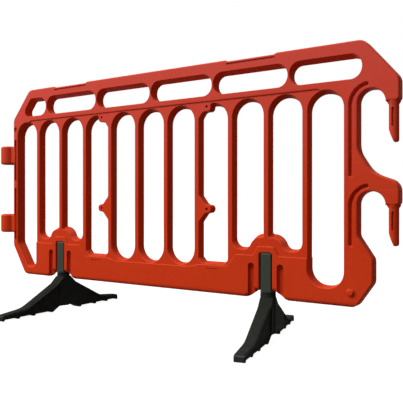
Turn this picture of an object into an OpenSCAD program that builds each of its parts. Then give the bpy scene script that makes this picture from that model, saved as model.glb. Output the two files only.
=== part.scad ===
// Pedestrian barrier: a moulded plastic panel on two swivelling feet.
// The front faces -Y, the hooks are at +X, the eyes at -X, and the feet stand on Z = 0.

/* [Panel] */
// Clear width between the two end frames
field_w = 1682; // [1560:1:1760]
// Height of the moulded panel
panel_h = 893; // [870:1:930]
// Depth of the rails and end frames, front to back
rail_depth = 46; // [42:1:56]
// Depth of the bars and of the arches above them
bar_depth = 36; // [30:1:40]
// Width of one upright bar
bar_w = 22; // [18:1:26]
// Width of the left end frame
left_frame_w = 33; // [30:1:40]
// Width of the right end frame, beside the hooks
right_frame_w = 42; // [38:1:52]
// Height of the panel's lower edge above the ground
ground_clear = 156; // [140:1:165]

/* [Top rail] */
// Height of the top rail
rail_h = 151; // [145:1:160]
// Height of the hand-holds
window_h = 88; // [76:1:94]
// Height of the hand-holds above the rail's underside
window_rise = 23; // [18:1:30]
// Width of the web between two hand-holds at its waist
divider_w = 9; // [7:1:16]
// Thickness left over each slot's arch
crown_t = 13; // [6:1:16]
// Length of each flat seat on top of the rail
saddle_l = 207; // [160:1:230]
// Depth of each flat seat
saddle_drop = 5; // [3:1:8]

/* [Bottom rail] */
// Height of the raised face between the posts
band_mid_h = 93; // [84:1:100]
// Height of the raised face beside the posts
band_side_h = 153; // [146:1:164]
// Height of the lower ends of the three middle slots
slot_mid_z = 107; // [102:1:118]
// Height of the lower ends of the two slots with sign lugs
slot_lug_z = 115; // [108:1:126]
// Height of the lower ends of the slots beside the posts
slot_post_z = 178; // [170:1:186]
// Height of the dome over each post
dome_h = 229; // [222:1:236]

/* [Hooks] */
// Gap between the right end frame and a hook's arm
hook_gap = 99; // [94:1:110]
// Width of a hook's arm
hook_arm_w = 45; // [42:1:52]
// Distance from the panel's top down to the upper hook's arm end
hook_below_top = 213; // [200:1:230]
// Radius of a hook's pin
pin_r = 16.5; // [14:0.5:18]
// Length of a pin below its arm
pin_l = 134; // [120:1:145]

/* [Eyes] */
// Distance from the panel's left edge to the eye's axis
eye_reach = 56; // [50:1:64]
// Outer radius of an eye
eye_r = 43; // [38:1:46]
// Radius of the bore that takes a pin
eye_bore_r = 19; // [18.5:0.5:22]
// Height of an eye
eye_h = 90; // [80:1:100]
// Gap between a hook's arm end and the top of a coupled eye
eye_drop = 54; // [46:1:60]

/* [Feet] */
// Length of a foot from toe to toe
foot_l = 716; // [640:1:740]
// Width of a foot's fins at the hub
fin_w = 52; // [48:1:54]
// Width of a foot's toes
toe_w = 41; // [36:1:46]
// Radius of the hub and its collar
hub_r = 29; // [27:1:33]
// Width of a post's flat front
post_w = 49; // [46:1:52]
// Turn of the right foot from square, as it was left standing
right_turn = 13; // [-45:1:45]

/* [Sign fixing] */
// Distance of a sign hole from the side of its bar
lug_reach = 36.6; // [34:0.1:44]
// Distance between the sign holes up the panel
sign_pitch_z = 402; // [380:1:410]
// Radius of a sign hole
sign_hole_r = 5.5; // [4:0.5:7]

/* [Hidden] */
$fn = 64;
arc_steps = 8;
half_turn = 180;
overrun = 10;
moulding_colour = [0.76, 0.17, 0.08];
foot_colour = [0.07, 0.08, 0.07];
post_colour = [0.16, 0.19, 0.16];
steel_colour = [0.62, 0.63, 0.64];

// Bars and slots: equal slots between the end frames, numbered from the middle outwards
bar_count = 10;
half_share = 0.5;
last_slot = bar_count / 2;
slot_w = (field_w - bar_count * bar_w) / (bar_count + 1);
pitch = slot_w + bar_w;
post_slot_count = 3.5;
post_x = post_slot_count * pitch;
lug_slot_count = 2;
split_x = last_slot * pitch;

// Main lines of the panel, from its lower edge and from the middle of its bars
left_x = -field_w / 2 - left_frame_w;
upright_x = field_w / 2 + right_frame_w;
arm_x = upright_x + hook_gap;
right_x = arm_x + hook_arm_w;
eye_x = left_x - eye_reach;
pin_x = arm_x + hook_arm_w / 2;
mid_x = (right_x + eye_x - eye_r) / 2;
rail_z = panel_h - rail_h;
crown_flat = 2;
arch_r = (slot_w - crown_flat) / 2;
arch_z = rail_z - crown_t;
spring_z = arch_z - arch_r;
bar_foot_rise = 11;
bar_foot_z = dome_h + bar_foot_rise;
hook_z = panel_h - hook_below_top;
lower_hook_z = half_share * hook_z;
hook_drop = hook_z - lower_hook_z;

// Corners of the panel
top_corner_w = 118;
top_corner_h = 137;
top_corner_r = 42;
low_corner_w = 88;
low_corner_h = 133;
low_corner_r = 42;

// Hooks, measured from their arm ends and from the right end frame
hook_crown_w = 9;
hook_arch_r = (hook_gap - hook_crown_w) / 2;
arch_lift = 1;
hook_arch_h = hook_arch_r + arch_lift;
hook_blend_r = 55;
shoulder_h = 75;
shoulder_r = 42;
throat_w = 55;
throat_h = 107;
neck_h = 182;
heel_w = 58;
heel_low_share = 0.235;
heel_top_share = 0.47;
heel_neck_share = 0.694;
heel_low_h = heel_low_share * lower_hook_z;
heel_top_h = heel_top_share * lower_hook_z;
heel_neck_h = heel_neck_share * lower_hook_z;
heel_r = 30;
heel_run = 2;

// Hand-holds: dividers stand at shares of half the field
divider_shares = [-0.755, -0.3686, 0, 0.3686, 0.755];
window_z = rail_z + window_rise;
window_r = (window_h - crown_flat) / 2;
window_from_left = 89;
first_window_slant_w = 44;
first_window_side_share = 0.4;
first_window_r = 21;
window_from_right = 123;
rail_end_web = 8;
rail_end_x = right_x - window_from_right + rail_end_web;

// Flat seats on the rail's top edge, and the line pressed in the face below each
saddle_share = 0.567;
seat_line_h = 5;
seat_line_d = 3;
seat_line_drop = 18;

// Lower ends of the slots
end_r = 30;
lug_slot_cut_w = 25;
lug_slot_cut_h = 30;
lug_slot_r = 12;
pocket_share = 0.572;
pocket_w = pocket_share * slot_w;
pocket_r = 36;
dome_lean_in = 18;
dome_lean_out = 14;
dome_r = 40;
dome_foot_r = 28;
dome_root_r = 8;
outer_slot_z = 58;
outer_slot_r = 60;
leg_slot_z = 38;
leg_slot_side_h = 150;
leg_slot_run = 75;
leg_slot_r = 20;

// Raised face of the bottom rail: it steps up beside each post and bulges over it
band_lug_h = 105;
band_step_in = 127;
band_step_out = 167;
band_mid_share = 0.45;
band_lug_share = 0.6;
bump_h = 187;
bump_half_w = 34;
bump_foot_w = 52;
band_r = 12;

// Post housing in the bottom rail
post_gap = 2.5;
housing_half_w = post_w / 2 + post_gap;
housing_h = 163;
housing_r = 10;
notch_half_w = 82;
notch_top_half_w = 38;
notch_h = 22;
notch_r = 12;
notch_foot_r = 34;
flute_off = 60;
flute_w = 28;
flute_d = 9;
flute_h = 123;
flute_r = (flute_w * flute_w / 4 + flute_d * flute_d) / (2 * flute_d);
flute_cap_z = flute_h - flute_w / 2;

// Grooves in the left end frame, each given by its lower and upper end
frame_groove_w = 14;
frame_groove_d = 5;
groove_from_edge = 8;
frame_groove_shares = [[0.237, 0.582], [0.616, 0.884]];
dimple_r = 12;
dimple_d = 7;
dimple_from_edge = 15;
dimple_below_rail = 35;
dimple_z = rail_z - dimple_below_rail;

// Grooves that follow the hooks
hook_groove_off = 20;
hook_groove_w = 11;
hook_groove_d = 5;
hook_groove_drop = 235;
lower_groove_drop = 130;
hook_groove_sweep = 80;

// Stacking peg on the front and its seat on the back
peg_x_in = 17;
peg_z = 45;
peg_r = 17;
peg_top_r = 13;
peg_h = 9;
peg_clear = 1.5;

// Eyes
eye_edge_r = 6;
eye_lip_r = 3;
eye_neck_step = 5;

// Pins
pin_collar_r = 22;
pin_collar_h = 2;
pin_cone_h = 9;
pin_taper_h = 46;
pin_tip_w = 13;
pin_tip_chamfer = 3;
pin_flute_w = 5;
pin_flute_d = 3;
pin_flute_top = 20;
pin_flute_l = 62;

// Sign lugs
lug_depth = 34;
lug_r = 16;
lug_root_h = 46;
lug_root_w = 20;
lug_blend_r = 22;
sign_below_rail = 18;
lug_high_z = rail_z - sign_below_rail;
lug_low_z = lug_high_z - sign_pitch_z;
lug_side_w = 20;
lug_bar_x = (lug_slot_count - half_share) * pitch + bar_w / 2;
lug_hole_x = lug_bar_x + lug_reach;
upper_lug_drop = 20;
upper_lug_root_h = 26;

// Feet: heights from the ground, lengths from the swivel axis
seat_gap = 0.3;
collar_z = ground_clear + notch_h - seat_gap;
collar_h = 28;
slope_rise = 6;
slope_top_z = collar_z - collar_h + slope_rise;
slope_lap = 2;
slope_top_l = hub_r - slope_lap;
toe_l = 83;
toe_root_h = 30;
toe_h = 20;
toe_r = 8;
toe_root_r = 60;
tooth_h = 6;
tooth_w = 8;
tooth_run = 3;
arch_half_l = 46;
arch_foot_l = 84;
arch_h = 21;
tooth_shares = [0.533, 0.768];
toe_plan_r = 12;

// Sunk panels on a foot's sides: a long one ahead of the hub and a short one behind it
panel_sink = 3;
panel_rim = 11;
panel_base_z = 14;
panel_hub_l = 43;
panel_hub_z = 32;
panel_tail_l = 150;
panel_toe_room = 77;
panel_point_room = 90;
panel_r = 5;

// Posts: a spigot pressed up into the panel, a flat-fronted block, and a pivot that the foot turns on
post_sink = 3;
post_edge_r = 9;
post_corner_r = 10;
pivot_r = 16;
pivot_l = 60;
pivot_clear = 0.3;
spigot_r = 12;
spigot_l = 42;
spigot_clear = 0.06;
bead_h = 29;
bead_t = 1;
bead_w = 5;
bead_edge = 1;
end_room = 2;

// Fixing bolt and washer under each hub
bolt_r = 6;
bolt_l = 95;
bolt_clear = 0.3;
thread_clear = 0.1;
bolt_head_r = 10.5;
bolt_head_h = 8;
washer_r = 15;
washer_t = 3;
recess_r = 17;
recess_z = 46;
hex_sides = 6;

// Unit vector along a plane vector
function along(v) = v / norm(v);

// A plane vector turned by an angle
function turned(v, a) = [v[0] * cos(a) - v[1] * sin(a), v[0] * sin(a) + v[1] * cos(a)];

// Points of the arc that rounds corner b between its neighbours a and c
function corner_arc(a, b, c, r) =
    let (
        u = along(a - b),
        w = along(c - b),
        half = acos(u * w) / 2,
        middle = b + along(u + w) * r / sin(half),
        start = b + u * r / tan(half) - middle,
        stop = b + w * r / tan(half) - middle,
        way = sign(start[0] * stop[1] - start[1] * stop[0])
    )
    [for (k = [0 : arc_steps]) middle + turned(start, way * (half_turn - 2 * half) * k / arc_steps)];

// A plane outline whose corners are given as [x, y, rounding radius]
function rounded(corners) =
    let (n = len(corners), at = [for (p = corners) [p[0], p[1]]])
    [for (i = [0 : n - 1])
        each corners[i][2] == 0 ? [at[i]]
            : corner_arc(at[(i + n - 1) % n], at[i], at[(i + 1) % n], corners[i][2])];

// A list of [x, y, radius] corners mirrored left to right
function flipped(corners) = [for (p = corners) [-p[0], p[1], p[2]]];

// A slab of a depth, centred on the panel's middle plane, from an outline in X and Z
module slab(depth) {
    translate([0, depth / 2, 0])
        rotate([90, 0, 0])
            linear_extrude(height = depth)
                children();
}

// Moves a piece from the panel's own lines to where the panel stands
module stood() {
    translate([-mid_x, 0, ground_clear])
        children();
}

// Repeats a piece cut or raised on the front face at the same place on the back face
module both_faces() {
    children();
    mirror([0, 1, 0])
        children();
}

// Corners of the notch in the bottom edge that clears a foot, from right to left
function notch_at(x) = [
    [x + notch_half_w, 0, notch_foot_r],
    [x + notch_top_half_w, notch_h, notch_r],
    [x - notch_top_half_w, notch_h, notch_r],
    [x - notch_half_w, 0, notch_foot_r]
];

// Outer outline of the panel with both hooks
module outline() {
    hook_arch_z = hook_z + hook_arch_h;
    lower_arch_z = lower_hook_z + hook_arch_h;
    polygon(rounded([
        [left_x, low_corner_h, low_corner_r],
        [left_x, panel_h - top_corner_h, top_corner_r],
        [left_x + top_corner_w, panel_h, top_corner_r],
        [right_x - top_corner_w, panel_h, top_corner_r],
        [right_x, panel_h - top_corner_h, top_corner_r],
        [right_x, hook_z, 0],
        [arm_x, hook_z, 0],
        [arm_x, hook_arch_z, hook_arch_r],
        [upright_x, hook_arch_z, hook_arch_r],
        [upright_x, lower_hook_z + neck_h, hook_blend_r],
        [upright_x + throat_w, lower_hook_z + throat_h, hook_blend_r],
        [right_x, lower_hook_z + shoulder_h, shoulder_r],
        [right_x, lower_hook_z, 0],
        [arm_x, lower_hook_z, 0],
        [arm_x, lower_arch_z, hook_arch_r],
        [upright_x, lower_arch_z, hook_arch_r],
        [upright_x, heel_neck_h, heel_r],
        [upright_x + heel_w, heel_top_h, heel_r],
        [upright_x + heel_w, heel_low_h, heel_r],
        [upright_x - heel_run, 0, low_corner_r],
        each notch_at(post_x),
        each notch_at(-post_x),
        [left_x + low_corner_w, 0, low_corner_r]
    ]));
}

// One slot between bars, counted from the middle: negative to the left
module slot(i) {
    lo = i * pitch - slot_w / 2;
    hi = lo + slot_w;
    head = [[lo, arch_z, arch_r], [hi, arch_z, arch_r]];
    foot = i == -last_slot
        ? [[hi, leg_slot_z, end_r], [lo + leg_slot_run, leg_slot_z, leg_slot_r],
            [lo, leg_slot_side_h, end_r]]
        : i == last_slot
        ? [[hi, outer_slot_z, outer_slot_r], [lo, outer_slot_z, outer_slot_r]]
        : abs(i) == lug_slot_count
        ? [[hi, slot_lug_z + lug_slot_cut_h, lug_slot_r], [hi - lug_slot_cut_w, slot_lug_z, lug_slot_r],
            [lo + lug_slot_cut_w, slot_lug_z, lug_slot_r], [lo, slot_lug_z + lug_slot_cut_h, lug_slot_r]]
        : [[hi, slot_mid_z, arch_r], [lo, slot_mid_z, arch_r]];
    polygon(rounded(concat(head, foot)));
}

// A slot beside a post: a narrow pocket runs down past the dome over the post
module post_slot_right(i) {
    lo = i * pitch - slot_w / 2;
    hi = lo + slot_w;
    inner = i < post_slot_count;
    wall = inner ? lo : hi;
    way = inner ? 1 : -1;
    dome_wall = wall + way * pocket_w;
    bar = inner ? hi : lo;
    polygon(rounded([
        [wall, arch_z, arch_r],
        [bar, arch_z, arch_r],
        [bar, dome_h, dome_root_r],
        [dome_wall + way * dome_lean_in, dome_h, dome_r],
        [dome_wall - way * dome_lean_out, slot_post_z, dome_foot_r],
        [wall, slot_post_z, pocket_r]
    ]));
}

// All the slots between the bars
module slots() {
    for (i = [-last_slot, -2, -1, 0, 1, 2, last_slot])
        slot(i);
    for (side = [0, 1], i = [post_slot_count - half_share, post_slot_count + half_share])
        mirror([side, 0, 0])
            post_slot_right(i);
}

// Hand-holds in the top rail; the first one leans with the panel's corner
module windows() {
    top = window_z + window_h;
    at = [for (s = divider_shares) s * field_w / 2];
    last = len(at) - 1;
    for (k = [1 : last])
        round_window(at[k - 1] + divider_w / 2, at[k] - divider_w / 2);
    round_window(at[last] + divider_w / 2, right_x - window_from_right);
    start = left_x + window_from_left;
    stop = at[0] - divider_w / 2;
    polygon(rounded([
        [start, window_z, first_window_r],
        [start, window_z + window_h * first_window_side_share, first_window_r],
        [start + first_window_slant_w, top, first_window_r],
        [stop, top, window_r],
        [stop, window_z, window_r]
    ]));
}

// One hand-hold with half-round ends
module round_window(x0, x1) {
    top = window_z + window_h;
    polygon(rounded([
        [x0, window_z, window_r],
        [x0, top, window_r],
        [x1, top, window_r],
        [x1, window_z, window_r]
    ]));
}

// Post housings: the tall gaps that show the posts
module housings() {
    for (side = [-1, 1])
        translate([side * post_x, 0])
            polygon(rounded([
                [-housing_half_w, -overrun, 0],
                [-housing_half_w, housing_h, housing_r],
                [housing_half_w, housing_h, housing_r],
                [housing_half_w, -overrun, 0]
            ]));
}

// The whole panel seen from the front, with every opening
module face() {
    difference() {
        outline();
        slots();
        windows();
        housings();
    }
}

// Right half of the raised face of the bottom rail
function band_half() = [
    [field_w * band_mid_share / 4, band_mid_h, band_r],
    [field_w * band_lug_share / 4, band_lug_h, band_r],
    [post_x - band_step_out, band_lug_h, band_r],
    [post_x - band_step_in, band_side_h, band_r],
    [post_x - bump_foot_w, band_side_h, band_r],
    [post_x - bump_half_w, bump_h, band_r],
    [post_x + bump_half_w, bump_h, band_r],
    [post_x + bump_foot_w, band_side_h, band_r],
    [field_w / 2, band_side_h, 0],
    [field_w / 2, 0, 0]
];

// Zones where the panel has its full depth: rails and end frames
module raised_zones() {
    right = band_half();
    left = flipped(right);
    n = len(left);
    polygon(rounded(concat([for (k = [1 : n]) left[n - k]], right)));
    translate([left_x, 0])
        square([left_frame_w, panel_h]);
    translate([field_w / 2, 0])
        square([right_x - field_w / 2, panel_h]);
    translate([left_x, rail_z])
        square([right_x - left_x, rail_h]);
    for (half = [0, 1])
        mirror([half, 0])
            translate([split_x, spring_z])
                square([field_w / 2 - split_x, rail_z - spring_z]);
}

// The stretch of the moulding inside a zone: bars at their own depth, rails at full depth
module moulding() {
    slab(bar_depth)
        intersection() {
            face();
            children();
        }
    slab(rail_depth)
        intersection() {
            face();
            raised_zones();
            children();
        }
}

// A rectangle in the panel's front view
module zone(x0, x1, z0, z1) {
    translate([x0, z0])
        square([x1 - x0, z1 - z0]);
}

// A box sunk into the front face
module front_sink(x0, x1, z0, z1, depth) {
    translate([x0, -rail_depth / 2 - overrun, z0])
        cube([x1 - x0, depth + overrun, z1 - z0]);
}

// Top rail with its hand-holds and the two flat seats on its upper edge
module top_rail() {
    color(moulding_colour)
        stood()
            difference() {
                slab(rail_depth)
                    difference() {
                        intersection() {
                            outline();
                            zone(left_x, rail_end_x, rail_z, panel_h);
                        }
                        windows();
                    }
                for (side = [-1, 1])
                    saddle_cut(side * saddle_share * field_w / 2);
            }
}

// A flat seat on the rail's top edge with a pressed line below it on both faces
module saddle_cut(x) {
    line_z = panel_h - seat_line_drop;
    translate([x - saddle_l / 2, -rail_depth, panel_h - saddle_drop])
        cube([saddle_l, 2 * rail_depth, saddle_drop + overrun]);
    both_faces()
        front_sink(x - saddle_l / 2, x + saddle_l / 2, line_z, line_z + seat_line_h, seat_line_d);
}

// Arches between the bars, under the top rail
module bar_heads() {
    color(moulding_colour)
        stood()
            difference() {
                moulding()
                    zone(-split_x, split_x, spring_z, rail_z);
                sign_holes();
            }
}

// Upright bars between the arches and the bottom rail
module infill_bars() {
    color(moulding_colour)
        stood()
            moulding()
                zone(-split_x, split_x, bar_foot_z, spring_z);
}

// Bottom rail with the post housings, the holes for their spigots and the flutes beside them
module bottom_rail() {
    color(moulding_colour)
        stood()
            difference() {
                moulding()
                    zone(-split_x, split_x, 0, bar_foot_z);
                for (side = [-1, 1])
                    translate([side * post_x, 0, 0]) {
                        spigot_cut();
                        both_faces()
                            for (way = [-1, 1])
                                translate([way * flute_off, 0, 0])
                                    flute_cut();
                    }
            }
}

// Blind hole for a post's spigot, with the groove that its bead snaps into
module spigot_cut() {
    bore_r = spigot_r + spigot_clear;
    groove_w = bead_w + 2 * bead_edge;
    translate([0, 0, housing_h - overrun])
        cylinder(r = bore_r, h = overrun + spigot_l + end_room);
    translate([0, 0, housing_h + bead_h - groove_w / 2])
        cylinder(r = bore_r + bead_t, h = groove_w);
}

// A round-topped flute in the front face
module flute_cut() {
    translate([0, -rail_depth / 2 - flute_r + flute_d, -overrun]) {
        cylinder(r = flute_r, h = flute_cap_z + overrun);
        translate([0, 0, flute_cap_z + overrun])
            sphere(r = flute_r);
    }
}

// Left end frame with its long grooves and a stacking dimple
module left_end() {
    color(moulding_colour)
        stood()
            difference() {
                moulding()
                    zone(left_x, -split_x, 0, rail_z);
                both_faces()
                    for (ends = frame_groove_shares * rail_z)
                        front_sink(left_x + groove_from_edge,
                            left_x + groove_from_edge + frame_groove_w,
                            ends[0], ends[1], frame_groove_d);
                translate([left_x + dimple_from_edge, dimple_d - rail_depth / 2, dimple_z])
                    rotate([90, 0, 0])
                        cylinder(r = dimple_r, h = dimple_d + overrun);
            }
}

// Right end frame with both hooks, their grooves and the stacking peg
module right_end() {
    color(moulding_colour)
        stood()
            difference() {
                union() {
                    moulding()
                        zone(split_x, right_x, 0, rail_z);
                    slab(rail_depth)
                        intersection() {
                            outline();
                            zone(rail_end_x, right_x, rail_z, panel_h);
                        }
                    translate([upright_x - peg_x_in, -rail_depth / 2, peg_z])
                        rotate([90, 0, 0])
                            cylinder(r1 = peg_r, r2 = peg_top_r, h = peg_h);
                }
                both_faces() {
                    hook_groove(hook_z, hook_groove_drop);
                    hook_groove(lower_hook_z, lower_groove_drop);
                }
                translate([upright_x - peg_x_in, rail_depth / 2, peg_z])
                    rotate([90, 0, 0])
                        cylinder(r1 = peg_r + peg_clear, r2 = peg_top_r + peg_clear,
                            h = peg_h + peg_clear);
            }
}

// A groove that runs up beside a hook and round its arch
module hook_groove(arm_z, drop) {
    middle = [upright_x + hook_gap / 2, arm_z + hook_arch_h - hook_gap / 2];
    inner = hook_gap / 2 + hook_groove_off - hook_groove_w / 2;
    outer = inner + hook_groove_w;
    end = hook_gap / 2 + hook_groove_off;
    translate([0, hook_groove_d - rail_depth / 2, 0])
        rotate([90, 0, 0])
            linear_extrude(height = hook_groove_d + overrun)
                translate(middle) {
                    translate([-outer, -drop])
                        square([hook_groove_w, drop]);
                    translate([-end, -drop])
                        circle(d = hook_groove_w);
                    polygon(concat(
                        [for (k = [0 : arc_steps])
                            turned([-outer, 0], -hook_groove_sweep * k / arc_steps)],
                        [for (k = [0 : arc_steps])
                            turned([-inner, 0], -hook_groove_sweep * (1 - k / arc_steps))]));
                    translate(turned([-end, 0], -hook_groove_sweep))
                        circle(d = hook_groove_w);
                }
}

// An eye on the panel's left edge: a thick ring on a short neck, bored for a pin
module eye(top_z) {
    color(moulding_colour)
        stood()
            translate([eye_x, 0, top_z - eye_h])
                difference() {
                    union() {
                        rotate_extrude()
                            polygon(rounded([
                                [eye_bore_r, 0, eye_lip_r],
                                [eye_r, 0, eye_edge_r],
                                [eye_r, eye_h, eye_edge_r],
                                [eye_bore_r, eye_h, eye_lip_r]
                            ]));
                        translate([0, -rail_depth / 2, eye_neck_step])
                            cube([eye_reach, rail_depth, eye_h - 2 * eye_neck_step]);
                    }
                    translate([0, 0, -overrun])
                        cylinder(r = eye_bore_r, h = eye_h + 2 * overrun);
                }
}

module upper_eye() {
    eye(hook_z - eye_drop);
}

module lower_eye() {
    eye(lower_hook_z - eye_drop);
}

// A coupling pin under a hook's arm: collar, round shank with a flute, and a leading tip
module pin(arm_z) {
    collar_l = pin_collar_h + pin_cone_h;
    color(moulding_colour)
        stood()
            translate([pin_x, 0, arm_z])
                difference() {
                    rotate_extrude()
                        polygon([
                            [0, 0],
                            [0, -pin_l],
                            [pin_r - pin_tip_chamfer, -pin_l],
                            [pin_r, pin_tip_chamfer - pin_l],
                            [pin_r, -collar_l],
                            [pin_collar_r, -pin_collar_h],
                            [pin_collar_r, 0]
                        ]);
                    slab(2 * pin_collar_r + overrun)
                        polygon([
                            [-pin_r - overrun, pin_taper_h - pin_l],
                            [-pin_r, pin_taper_h - pin_l],
                            [pin_r - pin_tip_w, -pin_l],
                            [pin_r - pin_tip_w, -pin_l - overrun],
                            [-pin_r - overrun, -pin_l - overrun]
                        ]);
                    translate([-pin_flute_w / 2, -pin_r - overrun, -pin_flute_top - pin_flute_l])
                        cube([pin_flute_w, overrun + pin_flute_d, pin_flute_l]);
                }
}

module upper_pin() {
    pin(hook_z);
}

module lower_pin() {
    pin(lower_hook_z);
}

// Four lugs with holes for a sign board: two under the top rail and two on bars
module sign_lugs() {
    color(moulding_colour)
        stood()
            difference() {
                slab(lug_depth)
                    for (side = [0, 1])
                        mirror([side, 0, 0])
                            intersection() {
                                union() {
                                    low_lug();
                                    high_lug();
                                }
                                slot(-lug_slot_count);
                            }
                sign_holes();
            }
}

// Through holes for the sign board's bolts
module sign_holes() {
    for (x = [-lug_hole_x, lug_hole_x], z = [lug_low_z, lug_high_z])
        translate([x, 0, z])
            rotate([90, 0, 0])
                cylinder(r = sign_hole_r, h = 2 * rail_depth, center = true);
}

// Outline of a lug on the side of a bar, flared where it meets the bar
module low_lug() {
    tip_r = lug_r - crown_flat / 2;
    translate([0, lug_low_z])
        polygon(rounded([
            [-lug_bar_x, lug_root_h, 0],
            [-lug_bar_x - lug_root_w, lug_r, lug_blend_r],
            [-lug_hole_x - lug_r, lug_r, tip_r],
            [-lug_hole_x - lug_r, -lug_r, tip_r],
            [-lug_bar_x - lug_root_w, -lug_r, lug_blend_r],
            [-lug_bar_x, -lug_root_h, 0]
        ]));
}

// Outline of a lug under the top rail, which fills the corner of its slot
module high_lug() {
    low = lug_high_z - upper_lug_drop;
    polygon(rounded([
        [-lug_bar_x, rail_z, 0],
        [-lug_hole_x - lug_side_w, rail_z, 0],
        [-lug_hole_x - lug_side_w, low, lug_r],
        [-lug_bar_x - lug_root_w, low, lug_blend_r],
        [-lug_bar_x, low - upper_lug_root_h, 0]
    ]));
}

// Stands a piece on its post's axis
module on_axis(side, turn = 0) {
    translate([side * post_x - mid_x, 0, 0])
        rotate([0, 0, turn])
            children();
}

// Half of a foot's side view, from the arch under its hub to the toe and up the slope
function foot_half() = [
    [arch_half_l, arch_h, 0],
    [arch_foot_l, 0, 0],
    [arch_foot_l + tooth_w, 0, 0],
    [arch_foot_l + tooth_w + tooth_run, tooth_h, 0],
    for (s = tooth_shares)
        each let (m = s * foot_l / 2) [
            [m - tooth_w / 2 - tooth_run, tooth_h, 0],
            [m - tooth_w / 2, 0, 0],
            [m + tooth_w / 2, 0, 0],
            [m + tooth_w / 2 + tooth_run, tooth_h, 0]
        ],
    [foot_l / 2 - tooth_w - tooth_run, tooth_h, 0],
    [foot_l / 2 - tooth_w, 0, 0],
    [foot_l / 2, 0, 0],
    [foot_l / 2, toe_h, toe_r],
    [foot_l / 2 - toe_l, toe_root_h, toe_root_r],
    [slope_top_l, slope_top_z, 0]
];

// A foot: two sloping fins on a round hub, standing on rows of teeth
module foot(side, turn) {
    right = foot_half();
    left = flipped(right);
    n = len(left);
    color(foot_colour)
        on_axis(side, turn)
            difference() {
                union() {
                    intersection() {
                        rotate([0, 0, 90])
                            slab(fin_w)
                                polygon(rounded(concat(right, [for (k = [1 : n]) left[n - k]])));
                        linear_extrude(height = collar_z)
                            polygon(rounded([
                                [-toe_w / 2, -foot_l / 2, toe_plan_r],
                                [toe_w / 2, -foot_l / 2, toe_plan_r],
                                [fin_w / 2, 0, 0],
                                [toe_w / 2, foot_l / 2, toe_plan_r],
                                [-toe_w / 2, foot_l / 2, toe_plan_r],
                                [-fin_w / 2, 0, 0]
                            ]));
                    }
                    translate([0, 0, arch_h])
                        cylinder(r = hub_r, h = collar_z - arch_h);
                }
                for (half = [0, half_turn])
                    rotate([0, 0, half])
                        side_panels();
                translate([0, 0, collar_z - pivot_l - end_room])
                    cylinder(r = pivot_r + pivot_clear, h = pivot_l + end_room + overrun);
                cylinder(r = bolt_r + bolt_clear, h = collar_z);
                cylinder(r = recess_r, h = recess_z);
            }
}

// Height of a sunk panel's upper edge at a length from the swivel axis
function panel_top(l) =
    let (fall = (slope_top_z - toe_root_h) / (foot_l / 2 - toe_l - slope_top_l))
    slope_top_z - (l - slope_top_l) * fall - panel_rim * sqrt(1 + fall * fall);

// Cuts the two sunk panels of a foot's right side
module side_panels() {
    tip_l = foot_l / 2 - panel_point_room;
    toe = foot_l / 2 - panel_toe_room;
    taper = atan((fin_w - toe_w) / foot_l);
    translate([fin_w / 2, 0, 0]) {
        rotate([0, 0, taper])
            panel_cut([
                [-panel_hub_l, panel_hub_z, panel_r],
                [-arch_foot_l, panel_base_z, panel_r],
                [-toe, panel_base_z, 0],
                [-tip_l, panel_top(tip_l), 0],
                [-panel_hub_l, panel_top(panel_hub_l), panel_r]
            ]);
        rotate([0, 0, -taper])
            panel_cut([
                [panel_tail_l, panel_base_z, panel_r],
                [panel_tail_l, panel_top(panel_tail_l), panel_r],
                [tip_l, panel_top(tip_l), 0],
                [toe, panel_base_z, 0]
            ]);
    }
}

// Sinks an outline, drawn along a foot and up, into the face at the middle plane
module panel_cut(corners) {
    rotate([0, 0, 90])
        translate([0, panel_sink, 0])
            rotate([90, 0, 0])
                linear_extrude(height = panel_sink + overrun)
                    polygon(rounded(corners));
}

module left_foot() {
    foot(-1, 0);
}

module right_foot() {
    foot(1, right_turn);
}

// A post: spigot with its snap bead, flat-fronted block, and the pivot that the foot turns on
module post(side) {
    low_z = collar_z - pivot_l;
    seat_z = ground_clear + notch_h;
    top_z = ground_clear + housing_h;
    color(post_colour)
        on_axis(side)
            difference() {
                union() {
                    post_block(seat_z, top_z);
                    translate([0, 0, low_z])
                        cylinder(r = pivot_r, h = seat_z - low_z + overrun);
                    translate([0, 0, top_z])
                        post_spigot();
                }
                translate([0, 0, low_z - overrun])
                    cylinder(r = bolt_r + thread_clear, h = overrun + recess_z + bolt_l + end_room - low_z);
            }
}

// The block of a post between two heights, with rounded upper edges
module post_block(z0, z1) {
    half_w = post_w / 2;
    half_d = rail_depth / 2 - post_sink;
    intersection() {
        slab(rail_depth)
            polygon(rounded([
                [-half_w, z0, 0],
                [-half_w, z1, post_corner_r],
                [half_w, z1, post_corner_r],
                [half_w, z0, 0]
            ]));
        rotate([0, 0, 90])
            slab(post_w + overrun)
                polygon(rounded([
                    [-half_d, z0 - overrun, 0],
                    [-half_d, z1, post_edge_r],
                    [half_d, z1, post_edge_r],
                    [half_d, z0 - overrun, 0]
                ]));
    }
}

// The round spigot above a post's block
module post_spigot() {
    rotate_extrude()
        polygon([
            [0, -overrun],
            [spigot_r, -overrun],
            [spigot_r, bead_h - bead_w / 2],
            [spigot_r + bead_t, bead_h - bead_w / 2 + bead_edge],
            [spigot_r + bead_t, bead_h + bead_w / 2 - bead_edge],
            [spigot_r, bead_h + bead_w / 2],
            [spigot_r, spigot_l],
            [0, spigot_l]
        ]);
}

module left_post() {
    post(-1);
}

module right_post() {
    post(1);
}

// The bolt that holds a foot on its post, driven up from the recess under the hub
module bolt(side) {
    head_top = recess_z - seat_gap - washer_t;
    color(steel_colour)
        on_axis(side) {
            translate([0, 0, head_top - bolt_head_h])
                cylinder(r = bolt_head_r, h = bolt_head_h, $fn = hex_sides);
            translate([0, 0, head_top - bolt_head_h])
                cylinder(r = bolt_r, h = bolt_head_h + washer_t + bolt_l);
        }
}

module left_bolt() {
    bolt(-1);
}

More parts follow.
